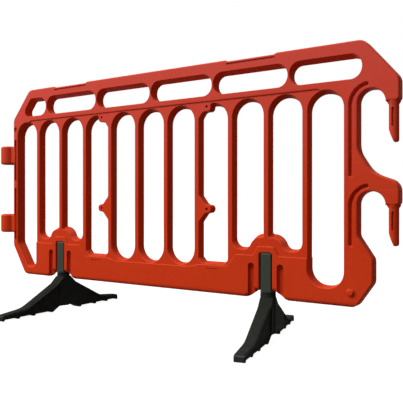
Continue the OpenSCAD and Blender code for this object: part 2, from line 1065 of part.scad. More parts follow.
module right_bolt() {
    bolt(1);
}

// The washer under a bolt's head
module washer(side) {
    color(steel_colour)
        on_axis(side)
            translate([0, 0, recess_z - seat_gap - washer_t])
                difference() {
                    cylinder(r = washer_r, h = washer_t);
                    translate([0, 0, -overrun])
                        cylinder(r = bolt_r + bolt_clear, h = washer_t + 2 * overrun);
                }
}

module left_washer() {
    washer(-1);
}

module right_washer() {
    washer(1);
}

top_rail();
bar_heads();
infill_bars();
bottom_rail();
left_end();
right_end();
upper_eye();
lower_eye();
upper_pin();
lower_pin();
sign_lugs();
left_foot();
right_foot();
left_post();
right_post();
left_bolt();
right_bolt();
left_washer();
right_washer();
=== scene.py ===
"""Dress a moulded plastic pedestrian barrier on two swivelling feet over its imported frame."""

import logging
import math
from collections.abc import Callable, Iterator, Sequence
from contextlib import contextmanager
from dataclasses import dataclass
from enum import Enum

import bpy
from mathutils import Matrix, Vector


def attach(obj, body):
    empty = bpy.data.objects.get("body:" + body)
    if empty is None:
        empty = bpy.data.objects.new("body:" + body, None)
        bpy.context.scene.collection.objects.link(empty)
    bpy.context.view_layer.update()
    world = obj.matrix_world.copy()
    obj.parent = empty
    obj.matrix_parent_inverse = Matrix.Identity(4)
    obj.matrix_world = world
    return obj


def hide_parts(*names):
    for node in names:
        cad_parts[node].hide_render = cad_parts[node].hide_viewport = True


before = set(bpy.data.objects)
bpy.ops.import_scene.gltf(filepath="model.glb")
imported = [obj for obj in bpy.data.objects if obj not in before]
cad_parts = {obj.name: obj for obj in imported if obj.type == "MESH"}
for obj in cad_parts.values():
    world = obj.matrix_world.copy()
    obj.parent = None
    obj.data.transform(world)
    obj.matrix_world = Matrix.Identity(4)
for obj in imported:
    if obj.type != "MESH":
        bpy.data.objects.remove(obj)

LOG = logging.getLogger("barrier")
MM = 0.001

Point = tuple[float, float, float]
Corner = tuple[float, float, float]
Colour = tuple[float, float, float]
Loop = list[tuple[float, float]]
Pick = Callable[[Vector, Vector], bool]
Piece = bpy.types.Object
Socket = bpy.types.NodeSocket

# Degrees that one straight piece of a rounding turns, where the number of pieces isn't given.
STEP_DEGREES = 9.0
# Straight pieces in each rounding of a drafted opening, so that its two outlines have as many points.
CUT_STEPS = 10
# Share of its radius by which an arc has turned in after a third of a quarter turn.
ARC_THIRD = 0.13
# Least share that an outset is divided by, which keeps sharp corners from shooting out.
MITRE = 0.4
# How far a tool stands over the face that it cuts, in millimetres.
OVER = 1.0
# How nearly a face looks along a direction to be picked for it.
FACING = 0.9
# Faces that meet at less than this many degrees are shaded as one.
SMOOTH_DEGREES = 34.0
DUST_TONE: Colour = (0.23, 0.21, 0.18)


class Plane(Enum):
    """How a drawing of u and v lies in the row: u along X for FRONT and along Y for SIDE, v always up."""

    FRONT = Matrix(((1, 0, 0, 0), (0, 0, -1, 0), (0, 1, 0, 0), (0, 0, 0, 1)))
    SIDE = Matrix(((0, 0, 1, 0), (1, 0, 0, 0), (0, 1, 0, 0), (0, 0, 0, 1)))


class Part(Enum):
    """What an edit-mode selection holds."""

    VERTS = (True, False, False)
    EDGES = (False, True, False)
    FACES = (False, False, True)


class Way(Enum):
    """What a tool does to a piece: become part of it, cut it, or trim it to what both hold."""

    JOIN = "UNION"
    CUT = "DIFFERENCE"
    TRIM = "INTERSECT"


class Face(Enum):
    """A broad face of the panel, with the sign of its side along Y."""

    FRONT = -1
    BACK = 1

    def of(self, front: float, back: float) -> float:
        """Return whichever of two values holds at this face."""
        return front if self is Face.FRONT else back


class Body(Enum):
    """The frame's moving bodies."""

    PANEL = "panel"
    LEFT = "left_swivel"
    RIGHT = "right_swivel"


class Slot(Enum):
    """Names of the record's material slots for the new pieces; they are passed to dress, which does not use
    them.
    """

    PANEL = "panel_plastic"
    FOOT = "foot_plastic"
    POST = "post_plastic"


class Pressing(Enum):
    """What is pressed into both faces: its depth, its floor's rounding and that rounding's rings."""

    FLUTE = (16.0, 7.0, 2)
    HOOK_GROOVE = (13.0, 4.0, 2)
    HOOK_MOUTH = (3.0, 2.9, 2)
    END_GROOVE = (10.0, 2.0, 2)
    SEAT_LINE = (6.0, 1.0, 1)
    RAIL_LINE = (3.5, 1.0, 1)


def rounded(corners: Sequence[Corner], steps: int = 0) -> Loop:
    """Round the corners of a closed outline.

    Args:
        corners: Corner points as u, v and rounding radius, in millimetres.
        steps: Straight pieces in each rounding, or 0 for as many as its turn needs.

    Returns:
        The points of the rounded outline.
    """
    loop: Loop = []
    for i, (u, v, radius) in enumerate(corners):
        at = Vector((u, v))
        if radius == 0:
            loop.append((u, v))
            continue
        back = (Vector(corners[i - 1][:2]) - at).normalized()
        on = (Vector(corners[(i + 1) % len(corners)][:2]) - at).normalized()
        half = back.angle(on) / 2
        middle = at + (back + on).normalized() * radius / math.sin(half)
        start = at + back * radius / math.tan(half) - middle
        stop = at + on * radius / math.tan(half) - middle
        sweep = math.pi - 2 * half
        if start.x * stop.y < start.y * stop.x:
            sweep = -sweep
        parts = steps or max(2, round(math.degrees(abs(sweep)) / STEP_DEGREES))
        for k in range(parts + 1):
            point = middle + Matrix.Rotation(sweep * k / parts, 2) @ start
            loop.append((point.x, point.y))
    return loop


def oblong(left: float, right: float, low: float, high: float, r: float,
           low_r: float | None = None) -> list[Corner]:
    """Return the corners of a rectangle; the rounding of its low corners may differ."""
    foot = r if low_r is None else low_r
    return [(left, low, foot), (left, high, r), (right, high, r), (right, low, foot)]


def flipped(corners: Sequence[Corner]) -> list[Corner]:
    """Return the corners mirrored left to right, in the reverse order."""
    return [(-u, v, r) for u, v, r in reversed(corners)]


def both(half: Sequence[Corner], x: float = 0.0) -> list[Corner]:
    """Return one half's corners with their mirror image after them, all moved along u."""
    return [(x + u, v, r) for u, v, r in [*half, *flipped(half)]]


def outset(loop: Loop, by: float) -> Loop:
    """Move a closed outline outwards.

    Args:
        loop: The outline's points.
        by: How far, in millimetres.

    Returns:
        As many points as the outline has.
    """
    points = [Vector(p) for p in loop]
    turn = sum(a.x * b.y - a.y * b.x for a, b in zip(points, points[1:] + points[:1]))
    way = by if turn > 0 else -by
    moved: Loop = []
    for i, point in enumerate(points):
        before = (point - points[i - 1]).normalized()
        after = (points[(i + 1) % len(points)] - point).normalized()
        out = Vector((before.y + after.y, -before.x - after.x)).normalized()
        shift = out * way / max(MITRE, Vector((before.y, -before.x)).dot(out))
        moved.append((point.x + shift.x, point.y + shift.y))
    return moved


def only(*pieces: Piece) -> None:
    """Select some pieces and nothing else.

    Args:
        *pieces: The pieces, of which the first one becomes active.
    """
    bpy.ops.object.select_all(action="DESELECT")
    for piece in pieces:
        piece.select_set(True)
    bpy.context.view_layer.objects.active = pieces[0]


def facing(x: float, y: float, z: float) -> Pick:
    """Return a test that picks the faces that look along a direction."""
    return lambda centre, normal: normal.dot(Vector((x, y, z))) > FACING


@contextmanager
def editing(piece: Piece, part: Part = Part.VERTS, pick: Pick | None = None) -> Iterator[None]:
    """Work on a piece in edit mode with some of it selected.

    Args:
        piece: The mesh piece to edit.
        part: Which kind of element the selection is made of.
        pick: Test of an element's centre and its normal or direction, or None to select all of it.

    Returns:
        A context in which the piece is in edit mode.
    """
    only(piece)
    mesh = piece.data
    bpy.ops.object.mode_set(mode="EDIT")
    bpy.context.tool_settings.mesh_select_mode = part.value
    bpy.ops.mesh.select_all(action="SELECT" if pick is None else "DESELECT")
    if pick is not None:
        bpy.ops.object.mode_set(mode="OBJECT")
        if part is Part.FACES:
            for face in mesh.polygons:
                face.select = pick(Vector(face.center), Vector(face.normal))
        elif part is Part.EDGES:
            for edge in mesh.edges:
                a, b = (mesh.vertices[i].co for i in edge.vertices)
                edge.select = pick((a + b) / 2, (b - a).normalized())
        else:
            for vert in mesh.vertices:
                vert.select = pick(vert.co.copy(), vert.normal.copy())
        bpy.ops.object.mode_set(mode="EDIT")
    yield
    bpy.ops.object.mode_set(mode="OBJECT")


def pull(x: float, y: float, z: float) -> None:
    """Extrude the selected faces by a step, given in millimetres."""
    bpy.ops.mesh.extrude_region_move(TRANSFORM_OT_translate={"value": (x * MM, y * MM, z * MM)})


def placed(name: str, data: bpy.types.ID) -> Piece:
    """Make an object and put it in the scene.

    Args:
        name: The object's name.
        data: The mesh, curve, lamp or camera that it shows.

    Returns:
        The object.
    """
    piece = bpy.data.objects.new(name, data)
    bpy.context.scene.collection.objects.link(piece)
    return piece


def added(name: str, operator: Callable[..., object], **values: object) -> Piece:
    """Add a primitive with nothing else selected.

    Args:
        name: Name of the new piece.
        operator: Blender's operator that adds it.
        **values: What the operator is given.

    Returns:
        The new piece.
    """
    bpy.ops.object.select_all(action="DESELECT")
    operator(**values)
    piece = bpy.context.view_layer.objects.active
    piece.name = name
    return piece


def settle(piece: Piece) -> Piece:
    """Put a piece's place, turn and scale into its mesh.

    Args:
        piece: The piece to settle.

    Returns:
        The same piece.
    """
    only(piece)
    bpy.ops.object.transform_apply(location=True, rotation=True, scale=True)
    return piece


def weld(piece: Piece, gap: float = 1e-6) -> Piece:
    """Merge a piece's doubled points and turn its faces outwards.

    Args:
        piece: The piece to mend.
        gap: How near two points are to be merged, in metres.

    Returns:
        The same piece.
    """
    with editing(piece):
        bpy.ops.mesh.remove_doubles(threshold=gap)
        bpy.ops.mesh.normals_make_consistent(inside=False)
    if sum(face.area * face.center.dot(face.normal) for face in piece.data.polygons) < 0:
        with editing(piece):
            bpy.ops.mesh.flip_normals()
    return piece


def finish_modifier(piece: Piece, kind: str, **values: object) -> Piece:
    """Add a modifier to a piece, set it and apply it.

    Args:
        piece: The piece to change.
        kind: Blender's name of the modifier type.
        **values: The modifier's settings.

    Returns:
        The same piece.
    """
    only(piece)
    modifier = piece.modifiers.new(kind.lower(), kind)
    for name, value in values.items():
        setattr(modifier, name, value)
    bpy.ops.object.modifier_apply(modifier=modifier.name)
    if piece.modifiers:
        raise RuntimeError(f"{kind} did not take on {piece.name}")
    return piece


def combine(piece: Piece, tool: Piece, way: Way) -> None:
    """Join, cut or trim a piece with a tool, which is used up.

    Args:
        piece: The piece to change.
        tool: The closed mesh that it is combined with.
        way: What the tool does to it.
    """
    finish_modifier(piece, "BOOLEAN", operation=way.value, solver="MANIFOLD", object=tool)
    bpy.data.objects.remove(tool)


def gather(pieces: Sequence[Piece]) -> Piece:
    """Join pieces that don't touch into one object.

    Args:
        pieces: The mesh pieces.

    Returns:
        The object that holds them all.
    """
    only(*pieces)
    bpy.ops.object.join()
    return bpy.context.view_layer.objects.active


def slab(name: str, loops: Sequence[Loop], depth: float, edge: float, plane: Plane = Plane.FRONT,
         at: Point = (0, 0, 0), rings: int = 2) -> Piece:
    """Make a slab with rounded edges from outlines; an outline inside another is an opening.

    Args:
        name: Name of the new piece.
        loops: Closed outlines of u and v, in millimetres.
        depth: Thickness, with the drawing in its middle, in millimetres.
        edge: Radius of the rounded edges of both faces, in millimetres.
        plane: How the drawing lies in the row.
        at: Shift of the slab in the row, in millimetres.
        rings: Blender's resolution of the rounding.

    Returns:
        The slab as a closed mesh.
    """
    curve = bpy.data.curves.new(name, "CURVE")
    curve.dimensions = "2D"
    curve.fill_mode = "BOTH"
    curve.extrude = (depth / 2 - edge) * MM
    curve.bevel_depth = edge * MM
    curve.bevel_resolution = rings
    curve.offset = -edge * MM
    for loop in loops:
        spline = curve.splines.new("POLY")
        spline.points.add(len(loop) - 1)
        for point, (u, v) in zip(spline.points, loop):
            point.co = (u * MM, v * MM, 0, 1)
        spline.use_cyclic_u = True
    only(placed(name, curve))
    bpy.ops.object.convert(target="MESH")
    piece = bpy.context.view_layer.objects.active
    piece.matrix_world = Matrix.Translation(Vector(at) * MM) @ plane.value
    return weld(settle(piece))


def drafted(name: str, front: Loop, back: Loop, half: float, edge: float, at: Point) -> Piece:
    """Make the tool that cuts an opening with drafted walls and rounded edges.

    Args:
        name: Name of the tool.
        front: The opening's outline at the front face.
        back: Its outline at the back face, with as many points.
        half: Distance of the faces from the middle plane, in millimetres.
        edge: Radius of the rounded edges, in millimetres.
        at: Shift of the tool in the row, in millimetres.

    Returns:
        The tool as a closed mesh.
    """
    turned = ARC_THIRD * edge
    lip = [(half + OVER, edge), (half - turned, edge / 2), (half - edge / 2, turned), (half - edge, 0.0)]
    rings = [(-y, outset(front, by)) for y, by in lip] + [(y, outset(back, by)) for y, by in reversed(lip)]
    n = len(front)
    points = [(Vector((u, y, v)) + Vector(at)) * MM for y, loop in rings for u, v in loop]
    faces = [(k * n + i, k * n + (i + 1) % n, (k + 1) * n + (i + 1) % n, (k + 1) * n + i)
             for k in range(len(rings) - 1) for i in range(n)]
    faces += [tuple(range(n)), tuple(range(len(points) - n, len(points)))]
    mesh = bpy.data.meshes.new(name)
    mesh.from_pydata(points, [], faces)
    return weld(placed(name, mesh))


def drum(name: str, radius: float, low: Sequence[float], high: Sequence[float], sides: int = 48) -> Piece:
    """Add a cylinder between the centres of its two ends.

    Args:
        name: Name of the new piece.
        radius: Radius in millimetres.
        low: Centre of one end, in millimetres.
        high: Centre of the other end, in millimetres.
        sides: Faces round the cylinder.

    Returns:
        The cylinder, with its place in its mesh.
    """
    a = Vector(low) * MM
    b = Vector(high) * MM
    piece = added(name, bpy.ops.mesh.primitive_cylinder_add, vertices=sides, radius=radius * MM,
                  depth=(b - a).length, location=(a + b) / 2)
    piece.rotation_euler = (b - a).to_track_quat("Z", "Y").to_euler()
    return settle(piece)


def column(name: str, radius: float, low: float, high: float, sides: int = 48) -> Piece:
    """Add an upright cylinder on the row's Z axis, given in millimetres."""
    return drum(name, radius, (0, 0, low), (0, 0, high), sides)


def dress(piece: Piece, finish: "Finish", slot: Slot, body: Body, *nodes: str) -> Piece:
    """Shade a finished piece and tie it to the frame.

    Args:
        piece: The finished mesh.
        finish: The finish that covers it.
        slot: The record's material slot; not used.
        body: The body it moves with.
        *nodes: The CAD nodes it stands for.

    Returns:
        The same piece.
    """
    only(piece)
    bpy.ops.object.shade_smooth_by_angle(angle=math.radians(SMOOTH_DEGREES))
    finish_modifier(piece, "WEIGHTED_NORMAL", keep_sharp=True, weight=80)
    finish.cover(piece)
    piece.data.name = piece.name
    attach(piece, body.value)
    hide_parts(*nodes)
    return piece


class Graph:
    """A node tree with short calls to add and wire its nodes."""

    def __init__(self, tree: bpy.types.NodeTree) -> None:
        """Start on an existing node tree."""
        self.tree = tree

    def feed(self, socket: Socket, value: object) -> None:
        """Link an input to another socket, or set it.

        Args:
            socket: The input.
            value: The socket that it is linked to, or a plain value.
        """
        if isinstance(value, Socket):
            self.tree.links.new(value, socket)
        else:
            socket.default_value = value

    def add(self, kind: str, **values: object) -> bpy.types.Node:
        """Add a node with its properties set and its inputs fed.

        Args:
            kind: The node's type without the ShaderNode prefix.
            **values: Properties by name, or inputs by name with underscores for spaces.

        Returns:
            The new node.
        """
        node = self.tree.nodes.new("ShaderNode" + kind)
        for name, value in values.items():
            if hasattr(node, name):
                setattr(node, name, value)
            else:
                inputs = (s for s in node.inputs if s.enabled and s.name.replace(" ", "_") == name)
                self.feed(next(inputs), value)
        return node

    def math(self, operation: str, a: object, b: object = 0.0, clamp: bool = False) -> Socket:
        """Add a Math node.

        Args:
            operation: Blender's name of the operation.
            a: The first value or socket.
            b: The second value or socket.
            clamp: Whether the result stays between 0 and 1.

        Returns:
            Its value.
        """
        node = self.add("Math", operation=operation, use_clamp=clamp)
        for socket, value in zip(node.inputs, (a, b)):
            self.feed(socket, value)
        return node.outputs[0]

    def product(self, *values: object) -> Socket:
        """Multiply values or sockets.

        Args:
            *values: Two or more of them, of which the first is a socket.

        Returns:
            Their product.
        """
        result = values[0]
        for value in values[1:]:
            result = self.math("MULTIPLY", result, value)
        return result

    def blend(self, share: object, a: object, b: Colour) -> Socket:
        """Mix a second colour into a first one.

        Args:
            share: How much of the second colour shows.
            a: The first colour, as a socket or with its alpha.
            b: The second colour.

        Returns:
            The mixed colour.
        """
        node = self.add("Mix", data_type="RGBA")
        for index, value in ((0, share), (6, a), (7, (*b, 1.0))):
            self.feed(node.inputs[index], value)
        return node.outputs[2]

    def noise(self, scale: object, detail: float, where: Socket | None = None) -> Socket:
        """Return a Noise Texture's value, on the piece's own coordinates unless others are given."""
        on = self.place() if where is None else where
        return self.add("TexNoise", Vector=on, Scale=scale, Detail=detail).outputs["Fac"]

    def span(self, value: Socket, low: object, high: object, to_low: float = 0.0,
             to_high: float = 1.0) -> Socket:
        """Map a stretch of a value to another, clamped, and return it."""
        return self.add("MapRange", Value=value, From_Min=low, From_Max=high, To_Min=to_low,
                        To_Max=to_high).outputs["Result"]

    def place(self) -> Socket:
        """Return the piece's own coordinates."""
        return self.add("TexCoord").outputs["Object"]

    def height(self) -> Socket:
        """Return the height above the ground."""
        return self.add("SeparateXYZ", Vector=self.place()).outputs["Z"]

    def lie(self, axis: str) -> Socket:
        """Return how far the surface faces along an axis of the piece."""
        return self.add("SeparateXYZ", Vector=self.add("TexCoord").outputs["Normal"]).outputs[axis]


class Effect(Enum):
    """Surface effects that the finishes share, each built once as a node group."""

    SKIN = "moulded skin"
    SCUFF = "scuffs"
    DUST = "ground dust"
    # A painted sheen: the broad faces lightened towards the top, standing in for a lamp's reflection.
    FADE = "sun fade"
    # Painted highlights on rounded edges that face up.
    LIP = "rubbed lips"

    def tree(self) -> bpy.types.NodeTree:
        """Find the effect's node group, or build it the first time.

        Returns:
            The node group.
        """
        found = bpy.data.node_groups.get(self.value)
        if found:
            return found
        tree = bpy.data.node_groups.new(self.value, "ShaderNodeTree")
        makers = {Effect.SKIN: self.skin, Effect.SCUFF: self.scuff, Effect.DUST: self.dust,
                  Effect.FADE: self.fade, Effect.LIP: self.lip}
        makers[self](Graph(tree))
        return tree

    def mask(self, graph: Graph, **values: float) -> Socket:
        """Place the effect in a material with values of its own and return its mask."""
        return graph.add("Group", node_tree=self.tree(), **values).outputs["Mask"]

    @staticmethod
    def given(graph: Graph, **inputs: float) -> list[Socket]:
        """Declare a group's named inputs.

        Args:
            graph: The group's graph.
            **inputs: The inputs' usual values, by name with underscores for spaces.

        Returns:
            The inputs as sockets inside the group, in the same order.
        """
        for name, value in inputs.items():
            socket = graph.tree.interface.new_socket(name.replace("_", " "), in_out="INPUT",
                                                     socket_type="NodeSocketFloat")
            socket.default_value = value
        return list(graph.tree.nodes.new("NodeGroupInput").outputs)[:len(inputs)]

    @staticmethod
    def give(graph: Graph, **outputs: Socket) -> None:
        """Declare a group's named outputs and link them.

        Args:
            graph: The group's graph.
            **outputs: What each output gives.
        """
        for name in outputs:
            graph.tree.interface.new_socket(name, in_out="OUTPUT", socket_type="NodeSocketFloat")
        node = graph.tree.nodes.new("NodeGroupOutput")
        for name, value in outputs.items():
            graph.feed(node.inputs[name], value)

    @classmethod
    def skin(cls, graph: Graph) -> None:
        """Build the tones and the grain of a mould's wall: broad drifts with fine mottling.

        Args:
            graph: The group's graph.
        """
        grain_scale, drift_scale = cls.given(graph, Grain_scale=900.0, Drift_scale=2.6)
        drift = graph.product(graph.noise(scale=drift_scale, detail=4.0), 0.7)
        mottle = graph.product(graph.noise(scale=70.0, detail=2.0), 0.3)
        tone = graph.span(graph.math("ADD", drift, mottle), low=0.3, high=0.7)
        cls.give(graph, Tone=tone, Grain=graph.noise(scale=grain_scale, detail=2.0))

    @classmethod
    def scuff(cls, graph: Graph) -> None:
        """Build thin rubbed streaks, gathered in patches, as stacking leaves them.

        Args:
            graph: The group's graph.
        """
        length, fineness = cls.given(graph, Length=5.0, Fineness=260.0)
        stretch = graph.add("CombineXYZ", X=length, Y=fineness, Z=fineness).outputs[0]
        where = graph.place()
        turned = graph.add("Mapping", Vector=where, Rotation=(0.2, 0.5, 0.1), Scale=stretch).outputs[0]
        streaks = graph.span(graph.noise(scale=1.0, detail=2.0, where=turned), low=0.62, high=0.72)
        patches = graph.span(graph.noise(scale=4.5, detail=2.0), low=0.5, high=0.72)
        cls.give(graph, Mask=graph.product(streaks, patches))

    @classmethod
    def dust(cls, graph: Graph) -> None:
        """Build a film of dust that thins out above the ground.

        Args:
            graph: The group's graph.
        """
        (reach,) = cls.given(graph, Height=0.12)
        near = graph.math("SUBTRACT", 1.0, graph.math("DIVIDE", graph.height(), reach), clamp=True)
        cloud = graph.span(graph.noise(scale=38.0, detail=5.0), low=0.42, high=0.75)
        cls.give(graph, Mask=graph.product(near, cloud))

    @classmethod
    def fade(cls, graph: Graph) -> None:
        """Build a painted sheen that lightens the broad faces, more towards the top, in place of a lamp's
        reflection.

        Args:
            graph: The group's graph.
        """
        start, stop = cls.given(graph, From=0.4, To=1.0)
        rise = graph.math("POWER", graph.span(graph.height(), start, stop), 1.4)
        broad = graph.span(graph.math("ABSOLUTE", graph.lie("Y")), low=0.6, high=0.95)
        cloud = graph.span(graph.noise(scale=5.0, detail=4.0), low=0.3, high=0.7, to_low=0.8, to_high=1.1)
        cls.give(graph, Mask=graph.product(rise, broad, cloud))

    @classmethod
    def lip(cls, graph: Graph) -> None:
        """Build painted highlights on rounded edges that face up, between a broad face and its flat top.

        Args:
            graph: The group's graph.
        """
        start, stop = cls.given(graph, From=0.2, To=0.9)
        up = graph.lie("Z")
        low = graph.span(up, start, graph.math("ADD", start, 0.2))
        high = graph.span(up, stop, graph.math("SUBTRACT", stop, 0.15))
        across = graph.span(graph.math("ABSOLUTE", graph.lie("Y")), low=0.05, high=0.25)
        # Noise that makes the painted highlights uneven.
        patchy = graph.span(graph.noise(scale=22.0, detail=3.0), low=0.3, high=0.6, to_low=0.55)
        cls.give(graph, Mask=graph.product(low, high, across, patchy))


@dataclass(frozen=True)
class Finish:
    """A finish made from the shared effects: two drifting tones, worn and dusty places, a grain, and where
    given a painted sheen and painted edge highlights.
    """

    name: str
    colour: Colour
    tone: Colour
    rubbed: Colour
    rub: float
    dusty: float
    rough: tuple[float, float]
    grain_scale: float
    grain: float
    metal: float = 0.0
    specular: float = 0.5
    # Colour of the painted sheen on the broad faces towards the top, or None for none.
    sheen_colour: Colour | None = None
    # Colour of the painted highlights on up-facing rounded edges, or None, and the upper end of how far up a
    # surface faces to get them.
    lips: Colour | None = None
    edge_highlight_to: float = 0.9
    rub_depth: float = 0.6
    grain_depth: float = 0.0006
    dust_rough: float = 0.3

    def material(self) -> bpy.types.Material:
        """Find the finish's material, or build it the first time.

        Returns:
            The material.
        """
        found = bpy.data.materials.get(self.name)
        if found:
            return found
        made = bpy.data.materials.new(self.name)
        made.use_nodes = True
        made.diffuse_color = (*self.colour, 1.0)
        graph = Graph(made.node_tree)
        skin = graph.add("Group", node_tree=Effect.SKIN.tree(), Grain_scale=self.grain_scale).outputs
        rub = graph.product(Effect.SCUFF.mask(graph), self.rub)
        film = graph.product(Effect.DUST.mask(graph), self.dusty)
        colour = graph.blend(skin["Tone"], (*self.colour, 1.0), self.tone)
        # Paint a sheen on the broad faces, growing towards the top.
        if self.sheen_colour:
            colour = graph.blend(Effect.FADE.mask(graph), colour, self.sheen_colour)
        # Paint highlights on the rounded edges that face up.
        if self.lips:
            colour = graph.blend(Effect.LIP.mask(graph, To=self.edge_highlight_to), colour, self.lips)
        colour = graph.blend(rub, colour, self.rubbed)
        colour = graph.blend(film, colour, DUST_TONE)
        rough = graph.span(skin["Tone"], 0.0, 1.0, *self.rough)
        rough = graph.math("ADD", rough, graph.product(film, self.dust_rough), clamp=True)
        height = graph.math("SUBTRACT", skin["Grain"], graph.product(rub, self.rub_depth))
        bump = graph.add("Bump", Strength=self.grain, Distance=self.grain_depth, Height=height)
        shader = made.node_tree.nodes["Principled BSDF"].inputs
        for name, value in (("Base Color", colour), ("Roughness", rough), ("Normal", bump.outputs["Normal"]),
                            ("Metallic", self.metal), ("Specular IOR Level", self.specular)):
            graph.feed(shader[name], value)
        return made

    def cover(self, piece: Piece) -> None:
        """Put the finish on a piece in place of what it has."""
        piece.data.materials.clear()
        piece.data.materials.append(self.material())


# This finish's colour carries painted light: a sheen towards the top of the broad faces and highlights on
# up-facing rounded edges.
PANEL_PLASTIC = Finish(
    "moulded orange plastic", colour=(0.45, 0.031, 0.0075), tone=(0.51, 0.0375, 0.0095),
    rubbed=(0.60, 0.09, 0.05), rub=0.5, dusty=0.12, rough=(0.33, 0.43), grain_scale=1100.0, grain=0.15,
    specular=0.0035, sheen_colour=(0.48, 0.056, 0.039), lips=(0.60, 0.070, 0.030))
# Painted highlights on its up-facing rounded edges, in the last colour.
FOOT_PLASTIC = Finish(
    "recycled black plastic", colour=(0.0160, 0.0172, 0.0148), tone=(0.0225, 0.0240, 0.0210),
    rubbed=(0.055, 0.057, 0.055), rub=0.4, dusty=0.06, rough=(0.36, 0.50), grain_scale=700.0, grain=0.30,
    specular=0.001, lips=(0.085, 0.085, 0.090), edge_highlight_to=0.66)
# Painted highlights on its up-facing rounded edges, in the last colour.
POST_PLASTIC = Finish(
    "smooth dark plastic", colour=(0.026, 0.033, 0.025), tone=(0.036, 0.044, 0.035),
    rubbed=(0.08, 0.088, 0.08), rub=0.5, dusty=0.0, rough=(0.30, 0.42), grain_scale=900.0, grain=0.20,
    specular=0.07, lips=(0.075, 0.083, 0.075))
BOLT_STEEL = Finish(
    "zinc-plated steel", colour=(0.52, 0.53, 0.54), tone=(0.63, 0.63, 0.62), rubbed=(0.75, 0.74, 0.70),
    rub=0.6, dusty=0.35, rough=(0.28, 0.44), grain_scale=1500.0, grain=0.15, metal=1.0)


